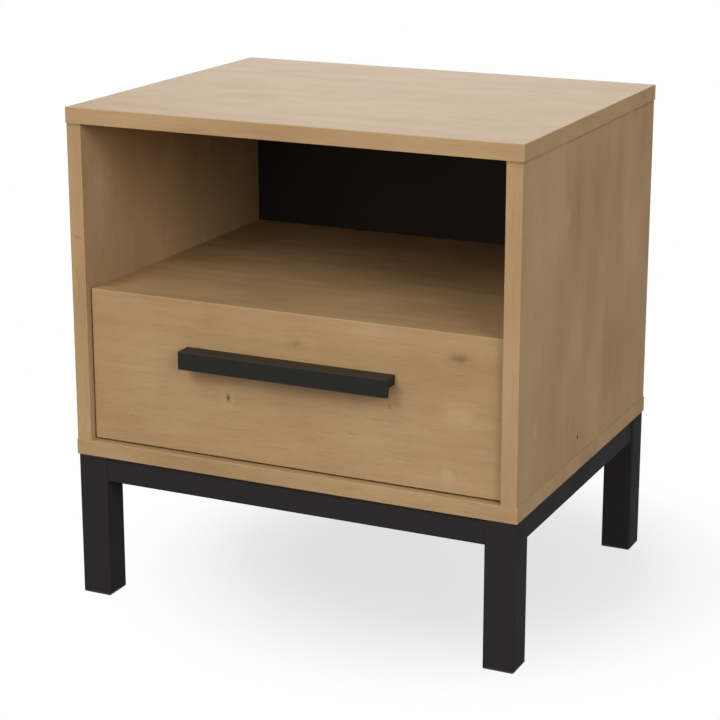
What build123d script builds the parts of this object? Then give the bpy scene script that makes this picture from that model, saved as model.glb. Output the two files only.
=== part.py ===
from build123d import *
import os

# Nightstand: a board carcass with an open niche above one drawer, on a square-tube base.
# Millimetres. +X points right as seen from the front, +Y to the back, +Z up. The origin lies on
# the floor, in the middle of the overall outline, handle included.

# Carcass boards
CABINET_WIDTH = 450.0  # top and bottom boards, left to right
CABINET_DEPTH = 360.0  # top and bottom boards, front to back
CARCASS_HEIGHT = 335.0  # underside of the bottom board to the top surface
BOARD = 15.0  # thickness of each carcass board and of the drawer front
SIDE_INSET = 1.0  # overhang of the top and bottom boards past each side board
NICHE_HEIGHT = 158.0  # clear height of the open niche
EDGE_ROUND = 0.6  # radius of the softened board edges
BACK_THICKNESS = 3.0
BACK_SETBACK = 12.0  # rear edges of the boards to the back panel's rear face
BACK_GROOVE = 6.0  # depth of the grooves that hold the back panel
GROOVE_PLAY = 0.2  # room around a thin panel in its groove, on each face and edge

# Square-tube base
LEG_SIZE = 30.0
LEG_LENGTH = 140.0
LEG_WALL = 1.5
RAIL_SIZE = 25.0
RAIL_WALL = 1.5
RAIL_SETBACK = 2.0  # rail faces behind the leg faces
TUBE_CORNER = 2.0  # outer corner radius of the tubes
BASE_INSET = 1.0  # leg faces behind the edges of the bottom board
PLATE_SIDE = 60.0  # short sides of the triangular corner plates
PLATE_THICKNESS = 3.0
PLATE_HOLE_INSET = 18.0  # screw hole from each of the two rails

# Plastic glides in the leg ends
GLIDE_FLANGE = 1.5
GLIDE_EDGE = 0.5  # bevel of the flange where it meets the floor
GLIDE_PLUG = 14.0
GLIDE_WALL = 2.0
GLIDE_FINS = 3
GLIDE_FIN_THICKNESS = 1.2
GLIDE_FIN_DEPTH = 1.0
GLIDE_PLAY = 0.1

# Drawer front and drawer box
FRONT_RECESS = 7.0  # drawer front's face behind the carcass front
FRONT_SIDE_GAP = 1.5
FRONT_BOTTOM_GAP = 2.0
FRONT_RISE = 1.7  # drawer front's top edge above the shelf's top
SHELF_GAP = 2.0  # drawer front's rear face to the shelf's front edge
DRAWER_BOARD = 12.0
DRAWER_HEIGHT = 105.0
DRAWER_PAST_RUNNER = 8.0  # drawer's rear end behind the rear ends of the runners
DRAWER_LIFT = 10.0  # bottom board to the lower edges of the drawer sides
DRAWER_BOTTOM_THICKNESS = 3.0
DRAWER_BOTTOM_LIFT = 10.0  # lower edges of the drawer sides to the drawer bottom
DRAWER_GROOVE = 5.0

# Handle: an angle-section pull with a finger space behind its lip
HANDLE_LENGTH = 210.0
HANDLE_HEIGHT = 17.0
HANDLE_DEPTH = 18.5
HANDLE_FLANGE = 9.0
HANDLE_LIP = 5.5
HANDLE_EDGE = 0.5  # softened edges of the front face
HANDLE_INNER_ROUND = 2.0  # radius in the angle between flange and lip
HANDLE_DROP = 44.5  # drawer front's top edge to the top of the handle
HANDLE_HOLE_SPACING = 160.0

# Telescopic ball runners
RUNNER_LENGTH = 300.0
RUNNER_HEIGHT = 45.0
RUNNER_THICKNESS = 12.7
RUNNER_WALL = 1.5
RUNNER_BEND = 1.2  # outer radius of the bends between web and flanges
RUNNER_GAP = 0.4  # running gap between flat faces
RUNNER_SETBACK = 2.0  # drawer front's rear face to the front ends of the runners
RACE_GAP = 2.4  # between the flanges that run on one row of balls
RACE_PLAY = 0.3  # a ball's room in its races
BALL_DIAMETER = 3.2
BALLS_PER_ROW = 3
CAGE_LENGTH = 120.0
CAGE_WALL = 0.6
CAGE_LIP = 1.0  # cage strip beyond the ball holes
CAGE_BALL_MARGIN = 10.0  # first and last ball from the cage ends
CAGE_PLAY = 0.1
BUMPER_LENGTH = 8.0
BUMPER_PLAY = 0.3
BUMPER_CORNER = 1.5
SLOT_LENGTH = 12.0  # spare fixing slots in the runner webs
SLOT_WIDTH = 4.5

# Fasteners
FIT = 0.05  # radial room of a pin or screw in its hole
END_PLAY = 0.5  # room past the end of a pin or screw
DOWEL_DIAMETER = 8.0
DOWEL_IN_FACE = 10.0
DOWEL_IN_EDGE = 20.0
DOWEL_MARGIN = 45.0  # first and last dowel from the board edges
TOP_DOWELS_PER_SIDE = 3
DRAWER_DOWEL_DIAMETER = 6.0
DRAWER_DOWEL_IN_FACE = 10.0
DRAWER_DOWEL_IN_EDGE = 15.0
DRAWER_DOWEL_LOW = 25.0  # lower and upper drawer dowels above the drawer side's lower edge
DRAWER_DOWEL_HIGH = 60.0
CONFIRMAT_DIAMETER = 7.0
CONFIRMAT_LENGTH = 45.0
CONFIRMAT_HEAD = 10.0
CONFIRMAT_HEAD_HEIGHT = 4.0
CONFIRMAT_STEP = 32.0  # confirmat screw from the nearest dowel
CAM_DIAMETER = 15.0
CAM_REACH = 24.0  # board end to cam centre
CAM_SKIN = 2.5  # board left behind a cam
CAM_THREAD_DIAMETER = 5.0
CAM_THREAD_LENGTH = 10.0
CAM_SHANK_DIAMETER = 6.0
CAM_NECK_DIAMETER = 4.0
CAM_HEAD_DIAMETER = 5.6
CAM_HEAD_LENGTH = 3.0
CAM_PLAY = 0.3  # room around the bolt head inside the cam
CAM_SLOT_LENGTH = 7.5  # the two slots of the cross that turns a cam
CAM_SLOT_WIDTH = 1.4
CAM_SLOT_DEPTH = 1.6
CAM_MARGIN = 45.0  # shelf cams from the shelf's front and rear edges
DRAWER_CAM_DROP = 18.0  # drawer cams below the drawer side's top edge
BASE_SCREW_DIAMETER = 5.0
BASE_SCREW_LENGTH = 14.0
BASE_SCREW_HEAD = 10.0
BASE_SCREW_HEAD_HEIGHT = 3.2
HANDLE_SCREW_DIAMETER = 4.0
HANDLE_SCREW_LENGTH = 22.0
HANDLE_SCREW_HEAD = 8.0
HANDLE_SCREW_HEAD_HEIGHT = 2.6
BACK_SCREW_DIAMETER = 3.5
BACK_SCREW_LENGTH = 35.0
BACK_SCREW_HEAD = 7.0
BACK_SCREW_HEAD_HEIGHT = 2.0
BACK_SCREW_INSET = 25.0  # drawer back screws from the drawer side's long edges
RUNNER_SCREW_DIAMETER = 3.5
RUNNER_SCREW_LENGTH = 10.0
RUNNER_SCREW_HEAD = 6.5
RUNNER_SCREW_HEAD_HEIGHT = 1.5
RUNNER_SCREWS = 3
RUNNER_SCREW_MARGIN = 37.0
SCREW_TIP = 3.0  # length of a wood screw's point

# Heights
BASE_HEIGHT = GLIDE_FLANGE + LEG_LENGTH
TOTAL_HEIGHT = BASE_HEIGHT + CARCASS_HEIGHT
BOTTOM_TOP = BASE_HEIGHT + BOARD
TOP_UNDER = TOTAL_HEIGHT - BOARD
SHELF_TOP = TOP_UNDER - NICHE_HEIGHT
SHELF_UNDER = SHELF_TOP - BOARD
FRONT_LOW = BOTTOM_TOP + FRONT_BOTTOM_GAP
FRONT_TOP = SHELF_TOP + FRONT_RISE
HANDLE_TOP = FRONT_TOP - HANDLE_DROP
DRAWER_LOW = BOTTOM_TOP + DRAWER_LIFT
DRAWER_TOP = DRAWER_LOW + DRAWER_HEIGHT
DRAWER_FLOOR = DRAWER_LOW + DRAWER_BOTTOM_LIFT
RAIL_Z = BASE_HEIGHT - RAIL_SIZE / 2
RUNNER_Z = DRAWER_LOW + DRAWER_HEIGHT / 2

# Places from left to right, as distances from the middle
BOARD_EDGE = CABINET_WIDTH / 2
SIDE_OUTER = BOARD_EDGE - SIDE_INSET
SIDE_INNER = SIDE_OUTER - BOARD
SIDE_MIDDLE = SIDE_OUTER - BOARD / 2
FRONT_EDGE = SIDE_INNER - FRONT_SIDE_GAP
DRAWER_OUTER = SIDE_INNER - RUNNER_THICKNESS
DRAWER_INNER = DRAWER_OUTER - DRAWER_BOARD
LEG_OUTER_X = BOARD_EDGE - BASE_INSET
LEG_INNER_X = LEG_OUTER_X - LEG_SIZE
RAIL_INNER_X = LEG_OUTER_X - RAIL_SETBACK - RAIL_SIZE

# Places from front to back
REAR = (CABINET_DEPTH + HANDLE_DEPTH - FRONT_RECESS) / 2
FRONT = REAR - CABINET_DEPTH
MIDDLE_Y = (FRONT + REAR) / 2
BACK_FACE = REAR - BACK_SETBACK - BACK_THICKNESS
FRONT_FACE = FRONT + FRONT_RECESS
FRONT_REAR = FRONT_FACE + BOARD
SHELF_FRONT = FRONT_REAR + SHELF_GAP
SHELF_REAR = BACK_FACE - GROOVE_PLAY
RUNNER_FRONT = FRONT_REAR + RUNNER_SETBACK
RUNNER_REAR = RUNNER_FRONT + RUNNER_LENGTH
DRAWER_REAR = RUNNER_REAR + DRAWER_PAST_RUNNER
SLIDING_LENGTH = RUNNER_LENGTH - BUMPER_LENGTH - BUMPER_PLAY
LEG_OUTER_Y = CABINET_DEPTH / 2 - BASE_INSET
LEG_INNER_Y = LEG_OUTER_Y - LEG_SIZE
RAIL_INNER_Y = LEG_OUTER_Y - RAIL_SETBACK - RAIL_SIZE

# Runner section, measured from the cabinet side towards the drawer, and up or down from its middle
RACE_RADIUS = BALL_DIAMETER / 2 + RACE_PLAY
OUTER_CAGE_WEB = RUNNER_WALL + RUNNER_GAP
MIDDLE_WEB = OUTER_CAGE_WEB + CAGE_WALL + RUNNER_GAP
INNER_CAGE_WEB = MIDDLE_WEB + RUNNER_WALL + RUNNER_GAP
INNER_TIP = INNER_CAGE_WEB + CAGE_WALL + RUNNER_GAP
INNER_WEB = RUNNER_THICKNESS - RUNNER_WALL
FLANGE_TIP = INNER_WEB - RUNNER_GAP
OUTER_HALF = RUNNER_HEIGHT / 2
MIDDLE_HALF = OUTER_HALF - RUNNER_WALL - RACE_GAP
INNER_HALF = MIDDLE_HALF - RUNNER_WALL - RACE_GAP
OUTER_ROW = (MIDDLE_WEB + RACE_RADIUS, MIDDLE_HALF + RACE_GAP / 2)
INNER_ROW = (FLANGE_TIP - RACE_RADIUS, INNER_HALF + RACE_GAP / 2)

LEFT, RIGHT = -1, 1
SIDES = {"left": LEFT, "right": RIGHT}
ENDS = {"front": -1, "rear": 1}
UP, DOWN = Vector(0, 0, 1), Vector(0, 0, -1)
FORWARD, BACKWARD = Vector(0, -1, 0), Vector(0, 1, 0)
STANDING = (Align.CENTER, Align.CENTER, Align.MIN)


def block(x_range, y_range, z_range):
    """Box between the two values given for each axis."""
    ranges = (x_range, y_range, z_range)
    centre = [(a + b) / 2 for a, b in ranges]
    size = [abs(b - a) for a, b in ranges]
    return Pos(*centre) * Box(*size)


def spread(first, last, count):
    """Evenly spaced places from first to last."""
    step = (last - first) / (count - 1)
    return [first + step * i for i in range(count)]


def outward(side):
    """Unit vector from the middle of the cabinet towards one side."""
    return Vector(side, 0, 0)


def peg(point, direction, radius, behind, ahead):
    """Cylinder through a point, reaching behind it and ahead of it along a direction."""
    start = point - direction * behind
    return Plane(origin=start, z_dir=direction) * Cylinder(radius, behind + ahead, align=STANDING)


def turned(point, direction, outline):
    """Solid of revolution about a direction through a point; outline holds (radius, height)."""
    half = Plane.XZ * make_face(Polyline(*outline, close=True))
    return Plane(origin=point, z_dir=direction) * revolve(half, Axis.Z)


# Fasteners. A seat is a point on the plane where two boards meet, and the direction into the
# board that the fastener enters by its edge.


def dowel(point, direction, room=0.0, end_room=0.0):
    """Carcass dowel across a seat; room and end_room widen it into its hole."""
    radius = DOWEL_DIAMETER / 2 + room
    return peg(point, direction, radius, DOWEL_IN_FACE + end_room, DOWEL_IN_EDGE + end_room)


def drawer_dowel(point, direction, room=0.0, end_room=0.0):
    """Thinner dowel of the drawer box."""
    radius = DRAWER_DOWEL_DIAMETER / 2 + room
    behind = DRAWER_DOWEL_IN_FACE + end_room
    ahead = DRAWER_DOWEL_IN_EDGE + end_room
    return peg(point, direction, radius, behind, ahead)


def countersunk_screw(point, direction, diameter, length, head, head_height, room=0.0):
    """Pointed screw with its flat head level with a point; room widens it into its hole."""
    core = diameter / 2 + room
    rim = head / 2 + room
    end = length + room
    outline = [(0, 0), (rim, 0), (core, head_height), (core, end - SCREW_TIP), (0, end)]
    return turned(point, direction, outline)


def pan_screw(point, direction, diameter, length, head, head_height):
    """Screw whose bevelled head rests on a surface at a point, with its shank along a direction."""
    core = diameter / 2
    rim = head / 2
    bevel = head_height / 2
    top = [(0, -head_height), (rim - bevel, -head_height), (rim, -bevel), (rim, 0)]
    return turned(point, direction, top + [(core, 0), (core, length), (0, length)])


def confirmat(point, direction, room=0.0):
    return countersunk_screw(
        point, direction, CONFIRMAT_DIAMETER, CONFIRMAT_LENGTH,
        CONFIRMAT_HEAD, CONFIRMAT_HEAD_HEIGHT, room,
    )


def back_screw(point, direction, room=0.0):
    return countersunk_screw(
        point, direction, BACK_SCREW_DIAMETER, BACK_SCREW_LENGTH,
        BACK_SCREW_HEAD, BACK_SCREW_HEAD_HEIGHT, room,
    )


def runner_screw(point, direction, room=0.0):
    return countersunk_screw(
        point, direction, RUNNER_SCREW_DIAMETER, RUNNER_SCREW_LENGTH,
        RUNNER_SCREW_HEAD, RUNNER_SCREW_HEAD_HEIGHT, room,
    )


def cam_bolt(point, direction):
    """Connecting bolt: its thread sits in the board behind the seat, its head inside the cam."""
    rim = CAM_REACH - CAM_DIAMETER / 2
    head_start = CAM_REACH - CAM_HEAD_LENGTH
    thread = [(0, -CAM_THREAD_LENGTH), (CAM_THREAD_DIAMETER / 2, -CAM_THREAD_LENGTH)]
    collar = [(CAM_THREAD_DIAMETER / 2, 0), (CAM_SHANK_DIAMETER / 2, 0)]
    shank = [(CAM_SHANK_DIAMETER / 2, rim), (CAM_NECK_DIAMETER / 2, rim)]
    neck = [(CAM_NECK_DIAMETER / 2, head_start), (CAM_HEAD_DIAMETER / 2, head_start)]
    head = [(CAM_HEAD_DIAMETER / 2, CAM_REACH), (0, CAM_REACH)]
    return turned(point, direction, thread + collar + shank + neck + head)


def cam_bolt_hole(point, direction):
    """Stepped hole for a cam bolt, through the board's edge as far as the cam."""
    thread = peg(point, direction, CAM_THREAD_DIAMETER / 2 + FIT, CAM_THREAD_LENGTH + END_PLAY, 0)
    return thread + peg(point, direction, CAM_SHANK_DIAMETER / 2 + FIT, 0, CAM_REACH)


def cam_disc(point, direction, face, thickness):
    """Cam let into a board's face, with a cross to turn it and a bore that takes the bolt's head."""
    centre = point + direction * CAM_REACH
    surface = centre + face * (thickness / 2)
    disc = peg(surface, face, CAM_DIAMETER / 2, thickness - CAM_SKIN, 0)
    bore = peg(centre, direction, CAM_HEAD_DIAMETER / 2 + CAM_PLAY, CAM_DIAMETER, CAM_PLAY)
    slot = Box(CAM_SLOT_LENGTH, CAM_SLOT_WIDTH, 2 * CAM_SLOT_DEPTH)
    cross = Plane(origin=surface, x_dir=direction, z_dir=face) * (slot + Rot(0, 0, 90) * slot)
    return disc - bore - cross


def cam_pocket(point, direction, face, thickness):
    """Round pocket in a board's face for a cam."""
    surface = point + direction * CAM_REACH + face * (thickness / 2)
    return peg(surface, face, CAM_DIAMETER / 2 + FIT, thickness - CAM_SKIN + FIT, 0)


def dowel_holes(seats):
    return [dowel(*seat, room=FIT, end_room=END_PLAY) for seat in seats]


def side_edge_seats(side, ys, z, direction):
    """Seats along the end of a side board, in the middle of its thickness."""
    return [(Vector(side * SIDE_MIDDLE, y, z), direction) for y in ys]


def top_dowel_seats(side):
    ys = spread(FRONT + DOWEL_MARGIN, REAR - DOWEL_MARGIN, TOP_DOWELS_PER_SIDE)
    return side_edge_seats(side, ys, TOP_UNDER, DOWN)


def bottom_dowel_seats(side):
    ys = [FRONT + DOWEL_MARGIN, REAR - DOWEL_MARGIN]
    return side_edge_seats(side, ys, BOTTOM_TOP, UP)


def confirmat_seats(side):
    inset = DOWEL_MARGIN + CONFIRMAT_STEP
    return side_edge_seats(side, [FRONT + inset, REAR - inset], BASE_HEIGHT, UP)


def shelf_seats(side, ys):
    """Seats on a side board's inner face, at mid-height of the shelf."""
    return [(Vector(side * SIDE_INNER, y, SHELF_TOP - BOARD / 2), outward(-side)) for y in ys]


def shelf_cam_seats(side):
    return shelf_seats(side, [SHELF_FRONT + CAM_MARGIN, SHELF_REAR - CAM_MARGIN])


def shelf_dowel_seats(side):
    return shelf_seats(side, [(SHELF_FRONT + SHELF_REAR) / 2])


def drawer_side_seats(side, zs):
    """Seats on the drawer front's rear face, in the middle of a drawer side's thickness."""
    x = side * (DRAWER_OUTER - DRAWER_BOARD / 2)
    return [(Vector(x, FRONT_REAR, z), BACKWARD) for z in zs]


def drawer_dowel_seats(side):
    return drawer_side_seats(side, [DRAWER_LOW + DRAWER_DOWEL_LOW, DRAWER_LOW + DRAWER_DOWEL_HIGH])


def drawer_cam_seats(side):
    return drawer_side_seats(side, [DRAWER_TOP - DRAWER_CAM_DROP])


def back_screw_seats(side):
    """Head places on a drawer side's outer face, in line with the drawer back."""
    y = DRAWER_REAR - DRAWER_BOARD / 2
    zs = [DRAWER_LOW + BACK_SCREW_INSET, DRAWER_TOP - BACK_SCREW_INSET]
    return [(Vector(side * DRAWER_OUTER, y, z), outward(-side)) for z in zs]


def runner_screw_ys():
    first = RUNNER_FRONT + RUNNER_SCREW_MARGIN
    last = RUNNER_FRONT + SLIDING_LENGTH - RUNNER_SCREW_MARGIN
    return spread(first, last, RUNNER_SCREWS)


def cabinet_runner_seats(side):
    """Head places on the inner face of a cabinet member's web."""
    x = side * (SIDE_INNER - RUNNER_WALL)
    return [(Vector(x, y, RUNNER_Z), outward(side)) for y in runner_screw_ys()]


def drawer_runner_seats(side):
    """Head places on the outer face of a drawer member's web."""
    x = side * (DRAWER_OUTER + RUNNER_WALL)
    return [(Vector(x, y, RUNNER_Z), outward(-side)) for y in runner_screw_ys()]


def handle_screw_seats():
    z = HANDLE_TOP - HANDLE_FLANGE / 2
    xs = [side * HANDLE_HOLE_SPACING / 2 for side in SIDES.values()]
    return [(Vector(x, FRONT_REAR, z), FORWARD) for x in xs]


def handle_screw_holes():
    radius = HANDLE_SCREW_DIAMETER / 2 + FIT
    return [peg(*seat, radius, 0, HANDLE_SCREW_LENGTH + END_PLAY) for seat in handle_screw_seats()]


def base_screw_seats():
    z = BASE_HEIGHT - PLATE_THICKNESS
    x = RAIL_INNER_X - PLATE_HOLE_INSET
    y = RAIL_INNER_Y - PLATE_HOLE_INSET
    corners = [(side, end) for side in SIDES.values() for end in ENDS.values()]
    return [(Vector(side * x, MIDDLE_Y + end * y, z), UP) for side, end in corners]


def base_screw_holes():
    radius = BASE_SCREW_DIAMETER / 2 + FIT
    return [peg(*seat, radius, 0, BASE_SCREW_LENGTH + END_PLAY) for seat in base_screw_seats()]


def both_sides(seats):
    """The seats of the left and then of the right side."""
    return [seat for side in SIDES.values() for seat in seats(side)]


# Carcass boards


def back_space(room):
    """The back panel's space; room is what is left free around the panel."""
    reach = BACK_GROOVE - GROOVE_PLAY + room
    half = SIDE_INNER + reach
    ys = (BACK_FACE - room, BACK_FACE + BACK_THICKNESS + room)
    return block((-half, half), ys, (BOTTOM_TOP - reach, TOP_UNDER + reach))


def top_panel():
    board = block((-BOARD_EDGE, BOARD_EDGE), (FRONT, REAR), (TOP_UNDER, TOTAL_HEIGHT))
    board = fillet(board.edges(), EDGE_ROUND)
    return board - back_space(GROOVE_PLAY) - dowel_holes(both_sides(top_dowel_seats))


def bottom_panel():
    board = block((-BOARD_EDGE, BOARD_EDGE), (FRONT, REAR), (BASE_HEIGHT, BOTTOM_TOP))
    board = fillet(board.edges(), EDGE_ROUND)
    screws = [confirmat(*seat, room=FIT) for seat in both_sides(confirmat_seats)]
    holes = dowel_holes(both_sides(bottom_dowel_seats)) + screws + base_screw_holes()
    return board - back_space(GROOVE_PLAY) - holes


def side_panel(side):
    board = block((side * SIDE_INNER, side * SIDE_OUTER), (FRONT, REAR), (BOTTOM_TOP, TOP_UNDER))
    board = fillet(board.edges().filter_by(Axis.Z), EDGE_ROUND)
    dowel_seats = top_dowel_seats(side) + bottom_dowel_seats(side) + shelf_dowel_seats(side)
    holes = dowel_holes(dowel_seats)
    holes += [confirmat(*seat, room=FIT) for seat in confirmat_seats(side)]
    holes += [cam_bolt_hole(*seat) for seat in shelf_cam_seats(side)]
    holes += [runner_screw(*seat, room=FIT) for seat in cabinet_runner_seats(side)]
    return board - back_space(GROOVE_PLAY) - holes


def shelf_panel():
    board = block((-SIDE_INNER, SIDE_INNER), (SHELF_FRONT, SHELF_REAR), (SHELF_UNDER, SHELF_TOP))
    board = fillet(board.edges().filter_by(Axis.X).group_by(Axis.Y)[0], EDGE_ROUND)
    seats = both_sides(shelf_cam_seats)
    holes = dowel_holes(both_sides(shelf_dowel_seats))
    holes += [cam_bolt_hole(*seat) for seat in seats]
    holes += [cam_pocket(*seat, DOWN, BOARD) for seat in seats]
    return board - holes


# Base


def tube(plane, size, wall, length):
    """Square tube that runs from a plane along its normal."""
    hollow = size - 2 * wall
    section = RectangleRounded(size, size, TUBE_CORNER) - Rectangle(hollow, hollow)
    return extrude(plane * section, length)


def leg(side, end):
    x = side * (LEG_OUTER_X - LEG_SIZE / 2)
    y = MIDDLE_Y + end * (LEG_OUTER_Y - LEG_SIZE / 2)
    return tube(Plane(origin=(x, y, GLIDE_FLANGE)), LEG_SIZE, LEG_WALL, LEG_LENGTH)


def cross_rail(end):
    """Front or rear rail, between two legs."""
    y = MIDDLE_Y + end * (RAIL_INNER_Y + RAIL_SIZE / 2)
    start = Plane(origin=(-LEG_INNER_X, y, RAIL_Z), x_dir=BACKWARD, z_dir=outward(RIGHT))
    return tube(start, RAIL_SIZE, RAIL_WALL, 2 * LEG_INNER_X)


def side_rail(side):
    """Left or right rail, between two legs."""
    x = side * (RAIL_INNER_X + RAIL_SIZE / 2)
    start = Plane(origin=(x, MIDDLE_Y - LEG_INNER_Y, RAIL_Z), x_dir=outward(RIGHT), z_dir=BACKWARD)
    return tube(start, RAIL_SIZE, RAIL_WALL, 2 * LEG_INNER_Y)


def corner_plate(side, end):
    """Triangular plate in a corner of the base, level with the tops of the rails."""
    x = side * RAIL_INNER_X
    y = MIDDLE_Y + end * RAIL_INNER_Y
    triangle = Polyline((x, y), (x - side * PLATE_SIDE, y), (x, y - end * PLATE_SIDE), close=True)
    low = Plane(origin=(0, 0, BASE_HEIGHT - PLATE_THICKNESS))
    plate = extrude(low * make_face(triangle), PLATE_THICKNESS)
    leg_ys = (MIDDLE_Y + end * LEG_INNER_Y, MIDDLE_Y + end * LEG_OUTER_Y)
    leg_space = block((side * LEG_INNER_X, side * LEG_OUTER_X), leg_ys, (0, TOTAL_HEIGHT))
    return plate - leg_space - base_screw_holes()


def glide(side, end):
    """Foot with a flange on the floor and a finned hollow plug in the leg."""
    hole = LEG_SIZE - 2 * LEG_WALL
    fin = hole - 2 * GLIDE_PLAY
    stem = fin - 2 * GLIDE_FIN_DEPTH
    cavity = stem - 2 * GLIDE_WALL
    flange = extrude(RectangleRounded(LEG_SIZE, LEG_SIZE, TUBE_CORNER), GLIDE_FLANGE)
    flange = chamfer(flange.edges().group_by(Axis.Z)[0], GLIDE_EDGE)
    plug = Pos(0, 0, GLIDE_FLANGE) * Box(stem, stem, GLIDE_PLUG, align=STANDING)
    step = GLIDE_PLUG / GLIDE_FINS
    for i in range(GLIDE_FINS):
        fin_top = GLIDE_FLANGE + GLIDE_PLUG - i * step
        plug += Pos(0, 0, fin_top - GLIDE_FIN_THICKNESS) * Box(fin, fin, GLIDE_FIN_THICKNESS, align=STANDING)
    plug -= Pos(0, 0, GLIDE_FLANGE) * Box(cavity, cavity, GLIDE_PLUG, align=STANDING)
    x = side * (LEG_OUTER_X - LEG_SIZE / 2)
    y = MIDDLE_Y + end * (LEG_OUTER_Y - LEG_SIZE / 2)
    return Pos(x, y, 0) * (flange + plug)


def base_screws():
    return [
        pan_screw(*seat, BASE_SCREW_DIAMETER, BASE_SCREW_LENGTH, BASE_SCREW_HEAD, BASE_SCREW_HEAD_HEIGHT)
        for seat in base_screw_seats()
    ]


# Drawer


def drawer_bottom_space(room):
    """The drawer bottom's space; room is what is left free around it."""
    reach = DRAWER_GROOVE - GROOVE_PLAY + room
    half = DRAWER_INNER + reach
    ys = (FRONT_REAR - reach, DRAWER_REAR - DRAWER_BOARD + reach)
    zs = (DRAWER_FLOOR - room, DRAWER_FLOOR + DRAWER_BOTTOM_THICKNESS + room)
    return block((-half, half), ys, zs)


def drawer_dowel_holes(side):
    return [drawer_dowel(*seat, room=FIT, end_room=END_PLAY) for seat in drawer_dowel_seats(side)]


def drawer_front():
    board = block((-FRONT_EDGE, FRONT_EDGE), (FRONT_FACE, FRONT_REAR), (FRONT_LOW, FRONT_TOP))
    board = fillet(board.edges(), EDGE_ROUND)
    holes = handle_screw_holes()
    for side in SIDES.values():
        holes += drawer_dowel_holes(side)
        holes += [cam_bolt_hole(*seat) for seat in drawer_cam_seats(side)]
    return board - drawer_bottom_space(GROOVE_PLAY) - holes


def drawer_side(side):
    xs = (side * DRAWER_INNER, side * DRAWER_OUTER)
    board = block(xs, (FRONT_REAR, DRAWER_REAR), (DRAWER_LOW, DRAWER_TOP))
    board = fillet(board.edges().filter_by(Axis.Y).group_by(Axis.Z)[-1], EDGE_ROUND)
    holes = drawer_dowel_holes(side)
    holes += [cam_bolt_hole(*seat) for seat in drawer_cam_seats(side)]
    holes += [cam_pocket(*seat, outward(side), DRAWER_BOARD) for seat in drawer_cam_seats(side)]
    holes += [back_screw(*seat, room=FIT) for seat in back_screw_seats(side)]
    holes += [runner_screw(*seat, room=FIT) for seat in drawer_runner_seats(side)]
    return board - drawer_bottom_space(GROOVE_PLAY) - holes


def drawer_back():
    ys = (DRAWER_REAR - DRAWER_BOARD, DRAWER_REAR)
    board = block((-DRAWER_INNER, DRAWER_INNER), ys, (DRAWER_LOW, DRAWER_TOP))
    board = fillet(board.edges().filter_by(Axis.X).group_by(Axis.Z)[-1], EDGE_ROUND)
    holes = [back_screw(*seat, room=FIT) for seat in both_sides(back_screw_seats)]
    return board - drawer_bottom_space(GROOVE_PLAY) - holes


def handle():
    """Angle-section bar: a flange against the drawer front and a lip that hangs from its front."""
    front = FRONT_FACE - HANDLE_DEPTH
    low = HANDLE_TOP - HANDLE_HEIGHT
    under = HANDLE_TOP - HANDLE_FLANGE
    lip_rear = front + HANDLE_LIP
    outline = Polyline(
        (front, low), (front, HANDLE_TOP), (FRONT_FACE, HANDLE_TOP),
        (FRONT_FACE, under), (lip_rear, under), (lip_rear, low), close=True,
    )
    bar = extrude(Plane.YZ * make_face(outline), HANDLE_LENGTH / 2, both=True)
    long_edges = bar.edges().filter_by(Axis.X)
    inner_corner = long_edges.sort_by_distance((0, lip_rear, under))[0]
    bar = fillet(inner_corner, HANDLE_INNER_ROUND)
    front_edges = bar.edges().filter_by(lambda edge: edge.center().Y < front + HANDLE_EDGE)
    bar = fillet(front_edges, HANDLE_EDGE)
    return bar - handle_screw_holes()


def handle_screws():
    return [
        pan_screw(
            *seat, HANDLE_SCREW_DIAMETER, HANDLE_SCREW_LENGTH,
            HANDLE_SCREW_HEAD, HANDLE_SCREW_HEAD_HEIGHT,
        )
        for seat in handle_screw_seats()
    ]


# Left runner; the right one is its mirror image


def bar_section(near, far, half_height):
    """Rectangle between two distances from the left cabinet side, level with the runner."""
    return Pos(-SIDE_INNER + (near + far) / 2, RUNNER_Z) * Rectangle(far - near, 2 * half_height)


def races(row):
    """Round grooves for an upper and a lower row of balls."""
    distance, height = row
    grooves = Sketch()
    for level in (RUNNER_Z - height, RUNNER_Z + height):
        grooves += Pos(-SIDE_INNER + distance, level) * Circle(RACE_RADIUS)
    return grooves


def drawn_back(section, front, length):
    """A section carried straight back from a front plane."""
    rear = Plane(origin=(0, front + length, 0), x_dir=outward(RIGHT), z_dir=FORWARD)
    return extrude(rear * section, length)


def spare_slots(web):
    """Fixing slots through a web, midway between its screws."""
    ys = runner_screw_ys()
    slots = []
    for y in [(a + b) / 2 for a, b in zip(ys, ys[1:])]:
        face = Plane(origin=(-SIDE_INNER + web, y, RUNNER_Z), x_dir=BACKWARD, z_dir=outward(RIGHT))
        slots.append(extrude(face * SlotOverall(SLOT_LENGTH, SLOT_WIDTH), RUNNER_WALL))
    return slots


def bent(section, web_end):
    """Section with the two outer bends beside its web rounded; web_end is 0 or -1 along X."""
    return fillet(section.vertices().group_by(Axis.X)[web_end], RUNNER_BEND)


def cabinet_member():
    section = bent(bar_section(0, FLANGE_TIP, OUTER_HALF), 0)
    section -= bar_section(RUNNER_WALL, FLANGE_TIP, OUTER_HALF - RUNNER_WALL)
    channel = drawn_back(section - races(OUTER_ROW), RUNNER_FRONT, RUNNER_LENGTH)
    screws = [runner_screw(*seat, room=FIT) for seat in cabinet_runner_seats(LEFT)]
    return channel - screws - spare_slots(0)


def middle_member():
    section = bent(bar_section(MIDDLE_WEB, FLANGE_TIP, MIDDLE_HALF), 0)
    section -= bar_section(MIDDLE_WEB + RUNNER_WALL, FLANGE_TIP, MIDDLE_HALF - RUNNER_WALL)
    section = section - races(OUTER_ROW) - races(INNER_ROW)
    return drawn_back(section, RUNNER_FRONT, SLIDING_LENGTH)


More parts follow.
